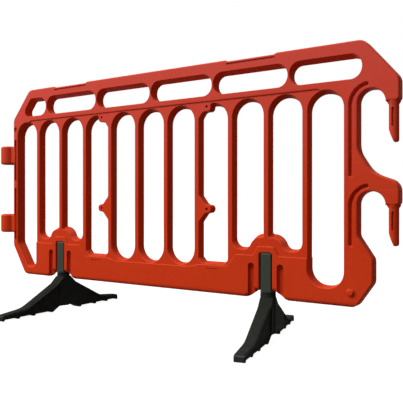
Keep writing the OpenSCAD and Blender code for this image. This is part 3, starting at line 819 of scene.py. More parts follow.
@dataclass
class Panel:
    """The one-piece moulding: rails, arches, bars and end frames, with all that is pressed into them.

    Sizes are in millimetres. Outlines are drawn on the panel's own lines, u from the middle of the bars and
    v up from a line at the height of clear, and each corner there is its u, its v and its rounding.
    """

    field: float = 1682.0
    height: float = 893.0
    rail: float = 46.0
    bar: float = 36.0
    bar_w: float = 22.0
    bar_count: int = 10
    clear: float = 156.0
    mid: float = 27.0
    left: float = -874.0
    right: float = 1027.0
    corner: float = 42.0
    top_slant: tuple[float, float] = (118.0, 137.0)
    low_slant: tuple[float, float] = (88.0, 133.0)
    upright: float = 883.0
    hook_wall: float = 889.0
    arm: float = 982.0
    arm_r: float = 12.0
    hook_z: float = 680.0
    low_hook_z: float = 340.0
    hook_rise: float = 46.0
    hook_r: float = 45.0
    groove: float = 6.0
    groove_r: float = 67.5
    groove_x: float = 49.5
    groove_drop: float = 3.5
    groove_turn: float = 80.0
    rail_z: float = 742.0
    arch_z: float = 727.5
    window_z: float = 765.0
    window_top: float = 848.5
    divider: float = 4.5
    dividers: tuple[float, ...] = (-0.755, -0.3686, 0.0, 0.3686, 0.755)
    seat_share: float = 0.567
    seat_drop: float = 5.0
    step_z: float = 153.0
    low_step_z: float = 105.0
    step_r: float = 12.0
    sill_z: float = 103.0
    dome: float = 231.0
    pocket: float = 178.0
    flute: float = 13.5
    flute_off: float = 60.0
    end_grooves: tuple[tuple[float, float], ...] = ((162.0, 416.0), (453.0, 656.0))
    bolt_r: float = 5.5
    peg_r: float = 14.0
    peg_tip: float = 10.0
    hem: float = -7.0
    below: float = -40.0
    reach: float = 1300.0
    above: float = 1000.0
    outer_edge: float = 5.5
    sole_edge: float = 18.0
    frame_edge: float = 4.0
    plate_edge: float = 1.0
    cut_edge: float = 4.0
    draft: float = 8.5
    side_draft: float = 2.5
    sill_draft: float = 5.0
    tuck: float = 9.0
    hair: float = 0.3

    def __post_init__(self) -> None:
        """Work out the spacing of the bars and the places of posts, seats, bolt holes and peg."""
        self.slot = (self.field - self.bar_count * self.bar_w) / (self.bar_count + 1)
        self.pitch = self.slot + self.bar_w
        self.post = 3.5 * self.pitch
        self.seat = self.seat_share * self.field / 2
        self.arch_r = (self.slot - 2) / 2
        self.hole_x = 1.5 * self.pitch + self.bar_w / 2 + 36.6
        self.hole_top = self.rail_z - 18
        self.hole_low = self.hole_top - 402
        self.peg_at = (self.upright - 17, 45.0)

    def spot(self, u: float, y: float, v: float) -> Point:
        """Return the place in the row of a point on the panel's own lines."""
        return (u - self.mid, y, v + self.clear)

    @property
    def at(self) -> Point:
        """Return the shift from the panel's own lines to the row."""
        return self.spot(0, 0, 0)

    def notch(self, x: float) -> list[Corner]:
        """Return the corners of the notch over a foot, from right to left."""
        return both([(82, self.hem, 34), (38, 22, 12)], x)

    def saddle(self, x: float) -> list[Corner]:
        """Return the corners of a flat seat in the top edge, from left to right."""
        return both([(-110, self.height, 14), (-98, self.height - self.seat_drop, 6)], x)

    def hook(self, z: float) -> list[Corner]:
        """Return the corners of a hook, from the end of its arm to the wall behind it."""
        top = z + self.hook_rise
        return [(self.right, z, self.arm_r), (self.arm, z, 0), (self.arm, top, self.hook_r),
                (self.hook_wall, top, self.hook_r)]

    def outline(self) -> Loop:
        """Draw the panel's outer outline with both hooks.

        Returns:
            The outline.
        """
        low = self.low_hook_z
        foot = self.upright + 58
        in_u, in_v = self.top_slant
        low_u, low_v = self.low_slant
        shoulder = self.height - in_v
        return rounded([
            (self.left, low_v, self.corner), (self.left, shoulder, self.corner),
            (self.left + in_u, self.height, self.corner), *self.saddle(-self.seat), *self.saddle(self.seat),
            (self.right - in_u, self.height, self.corner), (self.right, shoulder, self.corner),
            *self.hook(self.hook_z), (self.hook_wall, low + 182, 80), (self.upright + 55, low + 107, 95),
            (self.right, low + 75, self.corner), *self.hook(low),
            (self.hook_wall, 236, 30), (foot, 160, 30), (foot, 80, 30),
            (self.upright - 2, self.hem, self.corner), *self.notch(self.post), *self.notch(-self.post),
            (self.left + low_u, self.hem, self.corner)])

    def windows(self, face: Face) -> list[Loop]:
        """Draw the hand-holds of the top rail.

        Args:
            face: The face that they are drawn on.

        Returns:
            Their outlines, with the slanted one at the left end last.
        """
        low = self.window_z + face.of(0, 2)
        top = self.window_top - face.of(0, self.draft)
        side = self.window_z + face.of(35.2, 30.4)
        r = face.of(41, 35)
        at = [share * self.field / 2 for share in self.dividers]
        spans = [*zip(at, at[1:]), (at[-1], self.right - 123 + self.divider)]
        holds = [oblong(a + self.divider, b - self.divider, low, top, r) for a, b in spans]
        start = self.left + 89
        stop = at[0] - self.divider
        slant = start + (top - side) / 1.2
        holds.append([(start, low, 19), (start, side, 16), (slant, top, 21), (stop, top, r), (stop, low, r)])
        return [rounded(corners, CUT_STEPS) for corners in holds]

    def contour(self, drop: float = 0.0) -> list[Corner]:
        """Draw the step of the bottom rail's raised face.

        Args:
            drop: How far below the step the line runs.

        Returns:
            Its corners, from right to left.
        """
        p = self.post
        high = self.step_z
        low = self.low_step_z
        right = [(p + 52, high), (p + 34, 187), (p - 34, 187), (p - 52, high), (p - 127, high),
                 (p - 167, low), (0.15 * self.field, low), (0.1125 * self.field, 93)]
        return both([(u, v - drop, self.step_r) for u, v in right])

    def opening(self) -> Loop:
        """Draw the edge of the raised frame round the bars; its sides run through the two outermost slots.

        Returns:
            The edge's outline.
        """
        crown = self.field / 2 - self.slot / 2
        side = crown + 28
        right = [(crown - 30, self.rail_z, 8), (side, self.arch_z - 13, 0), (side, self.step_z, 0)]
        return rounded([*right, *self.contour(), *flipped(right)])

    def plate(self) -> Loop:
        """Draw the edge of the thinner plate that the bars are cut from, tucked into the frame.

        Returns:
            The plate's outline.
        """
        side = self.field / 2 - self.slot / 2 + 24
        right = [(side, self.rail_z + 18, 0), (side, self.step_z - self.tuck, 0)]
        return rounded([*right, *self.contour(self.tuck), *flipped(right)])

    def drawn(self, face: Face) -> tuple[float, float, float, float]:
        """Return a slot's lean, its arch's height, its sill's drop and its arch's radius at a face."""
        lean = face.of(0, self.side_draft)
        return lean, self.arch_z + face.of(self.draft, 0), face.of(self.sill_draft, 0), self.arch_r - lean

    def slots(self, face: Face) -> list[Loop]:
        """Draw the slots between the bars without the two outermost.

        Args:
            face: The face that they are drawn on.

        Returns:
            Their outlines.
        """
        lean, arch, sill, r = self.drawn(face)
        half = self.slot / 2 - lean
        foot = self.sill_z - sill
        plain = [oblong(x - half, x + half, foot, arch, r) for x in (-self.pitch, 0, self.pitch)]
        sided = [self.lug_slot(face), self.post_slot(3, face), self.post_slot(4, face)]
        return [rounded(corners, CUT_STEPS) for corners in [*plain, *sided, *map(flipped, sided)]]

    def end_slots(self, face: Face) -> list[Loop]:
        """Draw the two outermost slots.

        Args:
            face: The face that they are drawn on.

        Returns:
            Their outlines.
        """
        lean, arch, sill, r = self.drawn(face)
        side = self.field / 2 - lean
        wall = self.field / 2 - self.slot + lean
        right = oblong(wall, side, 58 - sill, arch, r, 60)
        left = [(-side, arch, r), (-wall, arch, r), (-wall, 38 - sill, 30), (75 - side, 38 - sill, 20),
                (-side, 150 - sill, 30)]
        return [rounded(right, CUT_STEPS), rounded(left, CUT_STEPS)]

    def lug_slot(self, face: Face) -> list[Corner]:
        """Draw the slot whose left bar carries a sign lug, under another one at its arch.

        Args:
            face: The face that it is drawn on.

        Returns:
            Its corners.
        """
        lean, arch, sill, r = self.drawn(face)
        bar = 1.5 * self.pitch + self.bar_w / 2 + lean
        far = 2.5 * self.pitch - self.bar_w / 2 - lean
        root = bar + 31 - lean
        tip = self.hole_x + 21
        low = self.hole_low
        ear = self.hole_x + 20
        high = self.hole_top - 20
        foot = [(far, 132 - sill, 10), (far - 16, 115 - sill, 10), (bar + 16, 115 - sill, 10),
                (bar, 132 - sill, 10)]
        lug = [(bar, low - 52, 16), (root, low - 16, 22), (tip, low - 16, 15), (tip, low + 16, 15),
               (root, low + 16, 22), (bar, low + 52, 16)]
        top = [(bar, high - 26, 16), (bar + 20 - lean, high, 22), (ear, high, 14), (ear, arch - 3, 6)]
        return [(far, arch, r), *foot, *lug, *top]

    def post_slot(self, i: int, face: Face) -> list[Corner]:
        """Draw a slot beside a post: a pocket runs down past the dome over the post, which has a broad lip.

        Args:
            i: The slot's number from the middle, 3 or 4.
            face: The face that it is drawn on.

        Returns:
            Its corners.
        """
        lean, arch, _, r = self.drawn(face)
        low = i * self.pitch - self.slot / 2
        high = low + self.slot
        wall, bar, way = (low, high, 1) if i == 3 else (high, low, -1)
        foot = wall + way * 76
        wall += way * lean
        bar -= way * lean
        dome = self.dome - face.of(12, 0)
        pocket = self.pocket - face.of(6, 0)
        return [(wall, arch, r), (bar, arch, r), (bar, dome, face.of(6, 8)),
                (foot + way * face.of(15, 10), dome, face.of(44, 55)),
                (foot - way * face.of(7.2, 14), pocket, face.of(35, 28)), (wall, pocket, 34)]

    def gap(self, x: float) -> Loop:
        """Return the gap in the bottom rail that shows a post."""
        return rounded(oblong(x - 27, x + 27, self.below, 163, 10, 0))

    def frame_cuts(self, face: Face) -> list[Loop]:
        """Return the openings of the raised frame, a hair wider than the slots that run through them."""
        return self.windows(face) + [outset(loop, self.hair) for loop in self.end_slots(face)]

    def bar_cuts(self, face: Face) -> list[Loop]:
        """Return all the slots."""
        return self.slots(face) + self.end_slots(face)

    def cutter(self, drawing: Callable[[Face], list[Loop]], depth: float) -> Piece:
        """Make the tool that cuts openings with drafted walls.

        Args:
            drawing: What draws the openings on a face.
            depth: Distance between the faces.

        Returns:
            The tool.
        """
        pairs = zip(drawing(Face.FRONT), drawing(Face.BACK))
        return gather([drafted("opening", front, back, depth / 2, self.cut_edge, self.at)
                       for front, back in pairs])

    def sink(self, loop: Loop, pressing: Pressing) -> list[Piece]:
        """Make the tools that press an outline into both faces.

        Args:
            loop: Outline on the panel's own lines.
            pressing: How it is pressed in.

        Returns:
            One tool for each face.
        """
        depth, edge, rings = pressing.value
        half = depth + edge + OVER
        out = self.rail / 2 - depth + half
        return [slab("sink", [loop], 2 * half, edge, at=self.spot(0, face.value * out, 0), rings=rings)
                for face in Face]

    def bored(self, name: str, radius: float, at: tuple[float, float], near: float, far: float,
              sides: int = 48) -> Piece:
        """Make a drum that lies across the panel's depth.

        Args:
            name: Name of the drum.
            radius: Its radius.
            at: Its place on the panel's own lines.
            near: Where it starts, along Y.
            far: Where it ends, along Y.
            sides: Faces round it.

        Returns:
            The drum.
        """
        u, v = at
        return drum(name, radius, self.spot(u, near, v), self.spot(u, far, v), sides)

    def hook_groove(self, arm_z: float, drop: float) -> Loop:
        """Draw the groove that runs up beside a hook and round its arch.

        Args:
            arm_z: Height of the end of the hook's arm.
            drop: How far the groove runs down from the arch's middle.

        Returns:
            Its outline, with round ends.
        """
        bends, ends = 20, 8
        start = Vector((-self.groove_r, 0))
        turns = [Matrix.Rotation(math.radians(self.groove_turn * k / bends), 2) for k in range(bends + 1)]
        path = [start - Vector((0, drop)), *(start @ turn for turn in turns)]
        left, right = [], []
        for k, point in enumerate(path):
            way = (path[min(k + 1, len(path) - 1)] - path[max(k - 1, 0)]).normalized()
            side = Vector((-way.y, way.x)) * self.groove
            left.append(point + side)
            right.append(point - side)
        caps = []
        for point, side in ((path[-1], left[-1] - path[-1]), (path[0], right[0] - path[0])):
            caps.append([point + Matrix.Rotation(-math.pi * k / ends, 2) @ side for k in range(1, ends)])
        middle = Vector((self.upright + self.groove_x, arm_z - self.groove_drop))
        return [tuple(middle + point) for point in [*left, *caps[0], *reversed(right), *caps[1]]]

    def hook_grooves(self) -> list[Loop]:
        """Return the grooves beside the upper and the lower hook."""
        return [self.hook_groove(self.hook_z, 235), self.hook_groove(self.low_hook_z, 130)]

    def mouths(self) -> list[Piece]:
        """Make the tools that widen the mouths of the hook grooves by as much as they are deep."""
        wider = [outset(groove, Pressing.HOOK_MOUTH.value[0]) for groove in self.hook_grooves()]
        return [tool for loop in wider for tool in self.sink(loop, Pressing.HOOK_MOUTH)]

    def lines(self) -> Iterator[tuple[list[Corner], Pressing]]:
        """Draw the flutes, grooves and lines that are plain rectangles.

        Returns:
            Each one's corners, and how it is pressed in.
        """
        for x in (-self.post, self.post):
            for u in (x - self.flute_off, x + self.flute_off):
                yield oblong(u - self.flute, u + self.flute, self.below, 123, 12, 0), Pressing.FLUTE
        for low, high in self.end_grooves:
            yield oblong(self.left + 8, self.left + 23, low, high, 4), Pressing.END_GROOVE
        for x in (-self.seat, self.seat):
            yield oblong(x - 103, x + 103, self.height - 18.5, self.height - 12.5, 2), Pressing.SEAT_LINE
        for x in (-2 * self.pitch, 2 * self.pitch):
            yield oblong(x - 30, x + 30, 88, 92, 1.5), Pressing.RAIL_LINE

    def pressings(self) -> list[Piece]:
        """Make the tools for all grooves, flutes, lines and holes.

        Returns:
            Tools that don't touch each other.
        """
        tools = [tool for corners, pressing in self.lines() for tool in self.sink(rounded(corners), pressing)]
        for groove in self.hook_grooves():
            tools += self.sink(groove, Pressing.HOOK_GROOVE)
        for x in (-self.post, self.post):
            tools.append(drum("bearing", 12.4, self.spot(x, 0, 150), self.spot(x, 0, 207), 64))
        for x in (-self.hole_x, self.hole_x):
            for z in (self.hole_low, self.hole_top):
                tools.append(self.bored("bolt hole", self.bolt_r, (x, z), -self.rail, self.rail, 24))
        tools.append(self.bored("dimple", 12, (self.left + 15, self.rail_z - 35), -self.rail, -15, 32))
        tools.append(self.bored("peg seat", 17, self.peg_at, 13, self.rail, 32))
        return tools

    def peg(self) -> Piece:
        """Model the stacking peg on the front: a drum drawn in to a cone with a rounded top.

        Returns:
            The peg.
        """
        peg = self.bored("peg", self.peg_r, self.peg_at, -15, -23.5)
        with editing(peg, Part.FACES, facing(0, -1, 0)):
            pull(0, -8.5, 0)
            bpy.ops.transform.resize(value=(self.peg_tip / self.peg_r, 1, self.peg_tip / self.peg_r))
            bpy.ops.mesh.bevel(offset=2.5 * MM, segments=3)
        return peg

    def build(self, finish: Finish) -> list[Piece]:
        """Model the moulding and dress it.

        Args:
            finish: Its finish.

        Returns:
            The one piece.
        """
        body = slab("panel_moulding", [self.outline()], self.rail, self.outer_edge, at=self.at)
        around = rounded(oblong(-self.reach, self.reach, -100, self.above, 0))
        inner = [around, self.opening(), self.gap(self.post), self.gap(-self.post)]
        thick = self.rail + 0.2 * self.hair
        combine(body, slab("inner edges", inner, thick, self.frame_edge, at=self.at), Way.TRIM)
        far, high = self.reach, self.above
        sole = rounded([(far, self.hem, 0), *self.notch(self.post), *self.notch(-self.post),
                        (-far, self.hem, 0), (-far, high, 0), (far, high, 0)])
        thick = self.rail + 0.4 * self.hair
        combine(body, slab("sole", [sole], thick, self.sole_edge, at=self.at, rings=4), Way.TRIM)
        combine(body, self.cutter(self.frame_cuts, self.rail), Way.CUT)
        bars = slab("bars", [self.plate()], self.bar, self.plate_edge, at=self.at)
        combine(bars, self.cutter(self.bar_cuts, self.bar), Way.CUT)
        combine(body, bars, Way.JOIN)
        combine(body, self.peg(), Way.JOIN)
        combine(body, gather(self.pressings()), Way.CUT)
        combine(body, gather(self.mouths()), Way.CUT)
        weld(body)
        return [dress(body, finish, Slot.PANEL, Body.PANEL, "top_rail", "bar_heads", "infill_bars",
                      "bottom_rail", "left_end", "right_end", "sign_lugs")]


@dataclass
class Coupling:
    """The eyes on the left edge and the pins under the hooks, in millimetres."""

    eye_x: float = -957.0
    edge_x: float = -901.0
    pin_x: float = 977.5
    arms: tuple[float, float] = (836.0, 496.0)
    ring: float = 42.98
    bore: float = 19.0
    eye_h: float = 90.0
    eye_drop: float = 54.0
    eye_edge: float = 10.0
    lip: float = 3.0
    neck: float = 44.0
    neck_in: float = 12.0
    neck_edge: float = 5.0
    pin_r: float = 16.5
    pin_l: float = 134.0
    shank_drop: float = 11.0
    cone: float = 9.0
    collar: float = 22.0
    collar_h: float = 11.0
    slant: tuple[float, float] = (20.0, 46.0)
    flute: float = 4.0
    flute_r: float = 3.5

    def eye(self, name: str, arm_z: float) -> Piece:
        """Model an eye: a rounded section spun to a ring, with a neck to the panel, bored for a pin.

        Args:
            name: Name of the piece.
            arm_z: Height of the hook's arm end that the eye goes with.

        Returns:
            The eye.
        """
        top = arm_z - self.eye_drop
        low = top - self.eye_h
        centre = Vector((self.eye_x, 0, (top + low) / 2)) * MM
        wall = self.ring - self.bore + 4
        section = centre + Vector(((self.ring - wall / 2) * MM, 0, 0))
        eye = added(name, bpy.ops.mesh.primitive_plane_add, size=1, rotation=(math.pi / 2, 0, 0),
                    location=section)
        eye.scale = (wall * MM, self.eye_h * MM, 1)
        settle(eye)
        with editing(eye, Part.VERTS, lambda c, n: c.x > section.x):
            bpy.ops.mesh.bevel(affect="VERTICES", offset=self.eye_edge * MM, segments=6)
        with editing(eye):
            bpy.ops.mesh.delete(type="ONLY_FACE")
            bpy.ops.mesh.select_all(action="SELECT")
            bpy.ops.mesh.spin(steps=72, angle=2 * math.pi, center=centre, axis=(0, 0, 1))
        weld(eye, gap=1e-5)
        neck = oblong(self.eye_x, self.edge_x + self.neck_in, low + self.neck_edge, top - self.neck_edge, 0)
        combine(eye, slab("neck", [rounded(neck)], self.neck, self.neck_edge), Way.JOIN)
        bore = drum("bore", self.bore, (self.eye_x, 0, low - 20), (self.eye_x, 0, top + 20), 64)
        combine(eye, bore, Way.CUT)
        rim = (self.eye_h / 2 - 0.5) * MM
        with editing(eye, Part.EDGES, lambda c, n: abs(c.z - centre.z) > rim
                     and abs(math.hypot(c.x - centre.x, c.y) - self.bore * MM) < 0.4 * MM):
            bpy.ops.mesh.bevel(offset=self.lip * MM, segments=3)
        return eye

    def hook_pin(self, name: str, arm_z: float) -> Piece:
        """Model a coupling pin: collar, cone, shank with a flute and a slanted leading tip.

        Args:
            name: Name of the piece.
            arm_z: Height of its arm's end.

        Returns:
            The pin.
        """
        tip = arm_z - self.pin_l
        pin = drum(name, self.pin_r, (self.pin_x, 0, tip), (self.pin_x, 0, arm_z - self.shank_drop), 64)
        grow = self.collar / self.pin_r
        with editing(pin, Part.FACES, facing(0, 0, 1)):
            pull(0, 0, self.cone)
            bpy.ops.transform.resize(value=(grow, grow, 1))
            pull(0, 0, self.collar_h)
        with editing(pin, Part.FACES, facing(0, 0, -1)):
            bpy.ops.mesh.bevel(offset=8 * MM, segments=5)
        across, rise = self.slant
        with editing(pin):
            bpy.ops.mesh.bisect(plane_co=Vector((self.pin_x - self.pin_r, 0, tip + rise)) * MM,
                                plane_no=Vector((-rise, 0, -across)).normalized(),
                                clear_outer=True, use_fill=True)
        weld(pin, gap=1e-5)
        finish_modifier(pin, "BEVEL", width=self.lip * MM, segments=3, limit_method="ANGLE",
                        angle_limit=math.radians(32))
        flute = oblong(self.pin_x - self.flute, self.pin_x + self.flute, arm_z - 82, arm_z - 20, self.flute_r)
        combine(pin, slab("flute", [rounded(flute)], 20, 1, at=(0, -self.pin_r - 2.5, 0)), Way.CUT)
        return pin

    def build(self, finish: Finish) -> list[Piece]:
        """Model both eyes and both pins and dress them.

        Args:
            finish: Their finish.

        Returns:
            The four pieces.
        """
        made: list[Piece] = []
        for level, arm_z in zip(("upper", "lower"), self.arms):
            eye = self.eye(f"{level}_eye_ring", arm_z)
            made.append(dress(eye, finish, Slot.PANEL, Body.PANEL, f"{level}_eye"))
            pin = self.hook_pin(f"{level}_hook_pin", arm_z)
            made.append(dress(pin, finish, Slot.PANEL, Body.PANEL, f"{level}_pin"))
        return made


@dataclass
class Foot:
    """One foot, turned about the axis of its post, with the bolt and washer that hold it.

    Sizes are in millimetres and the turn in degrees. Outlines are drawn outwards from the axis and up from
    the ground.
    """

    side: str
    body: Body
    axis_x: float
    turn: float
    length: float = 716.0
    fin: float = 52.0
    fin_edge: float = 4.0
    toe: float = 41.0
    nose: float = 25.0
    instep: tuple[float, float] = (235.0, 37.0)
    knee: tuple[float, float] = (60.0, 125.5)
    rim: float = 12.0
    bead: float = 8.0
    sunk: float = 7.0
    sunk_z: float = 15.0
    teeth: tuple[float, float] = (0.533, 0.768)
    tooth_h: float = 6.0
    hub: float = 29.0
    hub_z: float = 21.0
    slope_z: float = 155.7
    collar_z: float = 177.7
    collar_h: float = 7.0
    ring: float = 2.0
    ring_h: float = 3.0
    flare: float = 1.0
    recess: float = 17.0
    bolt_way: float = 6.3
    socket: float = 16.3

    def __post_init__(self) -> None:
        """Work out how far the toes reach and where the fins meet the hub."""
        self.end = self.length / 2
        self.root = (self.hub - 2, self.slope_z)

    def crest(self, low: float, rounding: float) -> list[Corner]:
        """Return a toe's nose, from a height up, with its pad and the slope to the hub."""
        return [(self.end, low, rounding), (self.end, self.nose, 10), (*self.instep, 120), (*self.knee, 40),
                (*self.root, 0)]

    def fin_half(self) -> list[Corner]:
        """Draw half of the foot's side view, from the arch under its hub to the toe and up the slope.

        Returns:
            Its corners.
        """
        high = self.tooth_h
        tooth = [(-8, high, 2), (-5, 0, 1.5)]
        teeth = [corner for share in self.teeth for corner in both(tooth, share * self.end)]
        return [(46, self.hub_z, 12), (84, 0, 4), (93, 0, 1.5), (96, high, 2), *teeth,
                (self.end - 12, high, 2), (self.end - 9, 0, 1.5), *self.crest(0, 4)]

    def under(self, u: float, rounding: float) -> Corner:
        """Find a corner on a side panel's upper edge, which runs a rim below the crest.

        Args:
            u: Its distance from the axis.
            rounding: Its rounding.

        Returns:
            The corner.
        """
        crest = [self.root, self.knee, self.instep, (self.end, self.nose)]
        (a, high), (b, low) = next(pair for pair in zip(crest, crest[1:]) if u <= pair[1][0])
        return (u, high + (low - high) * (u - a) / (b - a) - self.rim, rounding)

    def fins(self) -> Piece:
        """Model the two fins as one slab with beaded crests and sunk sides, which narrows to the toes.

        Returns:
            The fins.
        """
        view = rounded(both(self.fin_half()))
        crest = rounded(both(self.crest(-40, 0)))
        fins = slab(f"{self.side}_fins", [view], self.fin, self.fin_edge, Plane.SIDE)
        combine(fins, slab("bead", [crest], self.fin, self.bead, Plane.SIDE, rings=4), Way.TRIM)
        floor = self.sunk_z
        toe = [(self.end - 72, floor, 2), self.under(self.end - 94, 5), self.under(self.instep[0], 60)]
        long = [(43, 32, 6), (84, floor, 6), *toe, self.under(self.knee[0], 20), self.under(43, 6)]
        short = [(150, floor, 6), *toe, self.under(150, 6)]
        deep = 20.0
        out = self.fin / 2 + deep / 2 - self.sunk
        tools = []
        for way in (1, -1):
            for ahead, corners in ((-way, long), (way, short)):
                loop = rounded([(ahead * u, v, r) for u, v, r in corners])
                tools.append(slab("sunk panel", [loop], deep, 2, Plane.SIDE, at=(way * out, 0, 0)))
        combine(fins, gather(tools), Way.CUT)
        narrow = 1 - self.toe / self.fin
        for vert in fins.data.vertices:
            vert.co.x *= 1 - narrow * abs(vert.co.y) / (self.end * MM)
        return fins

    def hub_drum(self) -> Piece:
        """Model the round hub, with a ring groove under its collar.

        Returns:
            The hub.
        """
        shoulder = self.collar_z - self.collar_h - self.flare - self.ring_h
        hub = column("hub", self.hub, self.hub_z, shoulder, 64)
        grow = self.hub / (self.hub - self.ring)
        with editing(hub, Part.FACES, facing(0, 0, 1)):
            bpy.ops.mesh.inset(thickness=self.ring * MM)
            pull(0, 0, self.ring_h)
            pull(0, 0, self.flare)
            bpy.ops.transform.resize(value=(grow, grow, 1))
            pull(0, 0, self.collar_h)
            bpy.ops.mesh.bevel(offset=3 * MM, segments=3)
        return hub

    def foot(self) -> Piece:
        """Model the foot: fins on a round hub with a collar, hollow underneath for the bolt.

        Returns:
            The foot, turned and standing on its place.
        """
        foot = self.fins()
        combine(foot, self.hub_drum(), Way.JOIN)
        combine(foot, column("recess", self.recess, -5, 46), Way.CUT)
        combine(foot, column("bolt way", self.bolt_way, 40, 130, 32), Way.CUT)
        combine(foot, column("socket", self.socket, 115.7, 190, 64), Way.CUT)
        weld(foot)
        foot.name = f"{self.side}_foot_casting"
        turn = Matrix.Rotation(math.radians(self.turn), 4, "Z")
        foot.matrix_world = Matrix.Translation((self.axis_x * MM, 0, 0)) @ turn
        return settle(foot)

    def build(self, finish: Finish, steel: Finish) -> list[Piece]:
        """Model the foot and dress it, and finish its bolt and washer, which are the frame's own.

        Args:
            finish: The foot's finish.
            steel: The finish of the bolt and the washer.

        Returns:
            The foot, the bolt and the washer.
        """
        held = [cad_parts[f"{self.side}_bolt"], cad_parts[f"{self.side}_washer"]]
        for piece in held:
            steel.cover(piece)
        return [dress(self.foot(), finish, Slot.FOOT, self.body, f"{self.side}_foot"), *held]


@dataclass
class Post:
    """A post fixed in the panel: a block with a spigot above it and a pivot below, in millimetres."""

    side: str
    axis_x: float
    width: float = 45.0
    depth: float = 40.0
    seat_z: float = 178.0
    top_z: float = 319.0
    side_edge: float = 5.0
    top_edge: float = 7.0
    spigot: float = 12.0
    spigot_h: float = 42.0
    pivot: float = 16.0
    pivot_h: float = 60.3
    bolt_way: float = 6.2

    def block(self) -> Piece:
        """Model the block from a cube with softened uprights and a well rounded top.

        Returns:
            The block.
        """
        height = self.top_z - self.seat_z
        block = added(f"{self.side}_post_block", bpy.ops.mesh.primitive_cube_add, size=1,
                      location=(0, 0, (self.seat_z + height / 2) * MM))
        block.scale = (self.width * MM, self.depth * MM, height * MM)
        settle(block)
        with editing(block, Part.EDGES, lambda centre, way: abs(way.z) > FACING):
            bpy.ops.mesh.bevel(offset=self.side_edge * MM, segments=4)
        with editing(block, Part.FACES, facing(0, 0, 1)):
            bpy.ops.mesh.bevel(offset=self.top_edge * MM, segments=5)
        return block

    def build(self, finish: Finish) -> list[Piece]:
        """Model the post and dress it.

        Args:
            finish: Its finish.

        Returns:
            The one piece.
        """
        bite = 5.0
        post = self.block()
        tip = self.seat_z - self.pivot_h
        combine(post, column("spigot", self.spigot, self.top_z - bite, self.top_z + self.spigot_h), Way.JOIN)
        combine(post, column("pivot", self.pivot, tip, self.seat_z + bite, 64), Way.JOIN)
        combine(post, column("bolt way", self.bolt_way, 100, 143, 32), Way.CUT)
        weld(post)
        post.location.x = self.axis_x * MM
        return [dress(settle(post), finish, Slot.POST, Body.PANEL, f"{self.side}_post")]


@dataclass(frozen=True)
class Lamp:
    """A soft lamp: where it hangs and points, its width and height in metres, and its power in watts."""

    name: str
    at: Point
    to: Point
    size: tuple[float, float]
    power: float

    def hang(self) -> None:
        """Put the lamp in the scene."""
        data = bpy.data.lights.new(self.name, "AREA")
        data.shape = "RECTANGLE"
        data.size, data.size_y = self.size
        data.energy = self.power
        lamp = placed(self.name, data)
        lamp.location = self.at
        lamp.rotation_euler = (Vector(self.to) - Vector(self.at)).to_track_quat("-Z", "Y").to_euler()


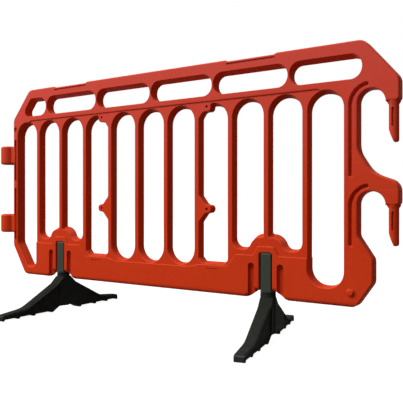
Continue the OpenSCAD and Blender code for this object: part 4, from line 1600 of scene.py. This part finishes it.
@dataclass
class Studio:
    """White floor and surroundings, soft lamps and the camera, in metres."""

    eye: Point = (1.556, -1.978, 0.513)
    look: Point = (-0.5605, 0.8281, -0.0025)
    lens: float = 53.6
    sensor: float = 36.0
    floor_size: float = 60.0
    floor_drop: float = 0.0005
    floor_grey: float = 0.15
    floor_glow: float = 0.95
    world_light: float = 0.33
    lamps: tuple[Lamp, ...] = (
        Lamp("key", (-9.4, -6.0, 5.2), (0.0, 0.0, 0.5), (3.5, 3.5), 725.0),
        Lamp("strip", (-5.9, -7.5, 2.9), (0.0, 0.0, 0.6), (8.4, 1.8), 230.0),
        Lamp("top", (-1.6, -5.4, 7.2), (0.0, 0.0, 0.5), (3.5, 3.5), 500.0),
        Lamp("back", (-3.0, 4.6, 8.0), (0.0, 0.0, 0.5), (4.0, 4.0), 480.0))

    def camera(self) -> None:
        """Stand the camera where the photograph was taken."""
        data = bpy.data.cameras.new("camera")
        data.sensor_fit = "HORIZONTAL"
        data.sensor_width = self.sensor
        data.lens = self.lens
        camera = placed("camera", data)
        camera.location = self.eye
        camera.rotation_euler = Vector(self.look).to_track_quat("-Z", "Y").to_euler()
        bpy.context.scene.camera = camera

    @staticmethod
    def seen(graph: Graph) -> Socket:
        """Tell what the camera sees from light that falls on things.

        Args:
            graph: The graph of the floor or the world.

        Returns:
            1 for what the camera sees, also in metal and glass, and 0 for the rest.
        """
        path = graph.add("LightPath").outputs
        mirrored = graph.math("MAXIMUM", path["Is Glossy Ray"], path["Is Transmission Ray"])
        return graph.math("MAXIMUM", path["Is Camera Ray"], mirrored)

    def floor(self) -> None:
        """Lay the pale floor, which keeps the shadow and runs to white."""
        floor = settle(added("floor", bpy.ops.mesh.primitive_plane_add, size=self.floor_size,
                             location=(0, 0, -self.floor_drop)))
        made = bpy.data.materials.new("floor")
        made.use_nodes = True
        made.node_tree.nodes.clear()
        graph = Graph(made.node_tree)
        matt = graph.add("BsdfDiffuse", Color=(self.floor_grey, self.floor_grey, self.floor_grey, 1.0))
        glow = graph.add("Emission", Strength=graph.product(self.seen(graph), self.floor_glow))
        sum_of_both = graph.add("AddShader")
        for socket, shader in zip(sum_of_both.inputs, (matt, glow)):
            graph.feed(socket, shader.outputs[0])
        graph.add("OutputMaterial", Surface=sum_of_both.outputs[0])
        floor.data.materials.append(made)

    def surroundings(self) -> None:
        """Make the world white to the eye and a gentle light to the object."""
        world = bpy.data.worlds.new("studio")
        world.use_nodes = True
        bpy.context.scene.world = world
        graph = Graph(world.node_tree)
        ground = world.node_tree.nodes["Background"].inputs
        graph.feed(ground["Color"], (1, 1, 1, 1))
        graph.feed(ground["Strength"], graph.span(self.seen(graph), 0.0, 1.0, self.world_light, 1.0))

    def build(self) -> None:
        """Set up the whole studio."""
        self.camera()
        self.floor()
        self.surroundings()
        for lamp in self.lamps:
            lamp.hang()
        bpy.context.scene.view_settings.view_transform = "Standard"


def main() -> None:
    """Build the barrier over its frame, report its pieces and set up the studio."""
    logging.basicConfig(level=logging.INFO, format="%(name)s: %(message)s")
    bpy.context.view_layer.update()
    panel = Panel()
    pieces = panel.build(PANEL_PLASTIC) + Coupling().build(PANEL_PLASTIC)
    for side, body, way, turn in (("left", Body.LEFT, -1, 0.0), ("right", Body.RIGHT, 1, 13.0)):
        axis_x = way * panel.post - panel.mid
        pieces += Post(side, axis_x).build(POST_PLASTIC)
        pieces += Foot(side, body, axis_x, turn).build(FOOT_PLASTIC, BOLT_STEEL)
    for piece in pieces:
        LOG.info("%s: %d faces in %s", piece.name, len(piece.data.polygons), piece.data.materials[0].name)
    Studio().build()
    LOG.info("studio: camera, floor and lamps")


if __name__ == "__main__":
    main()
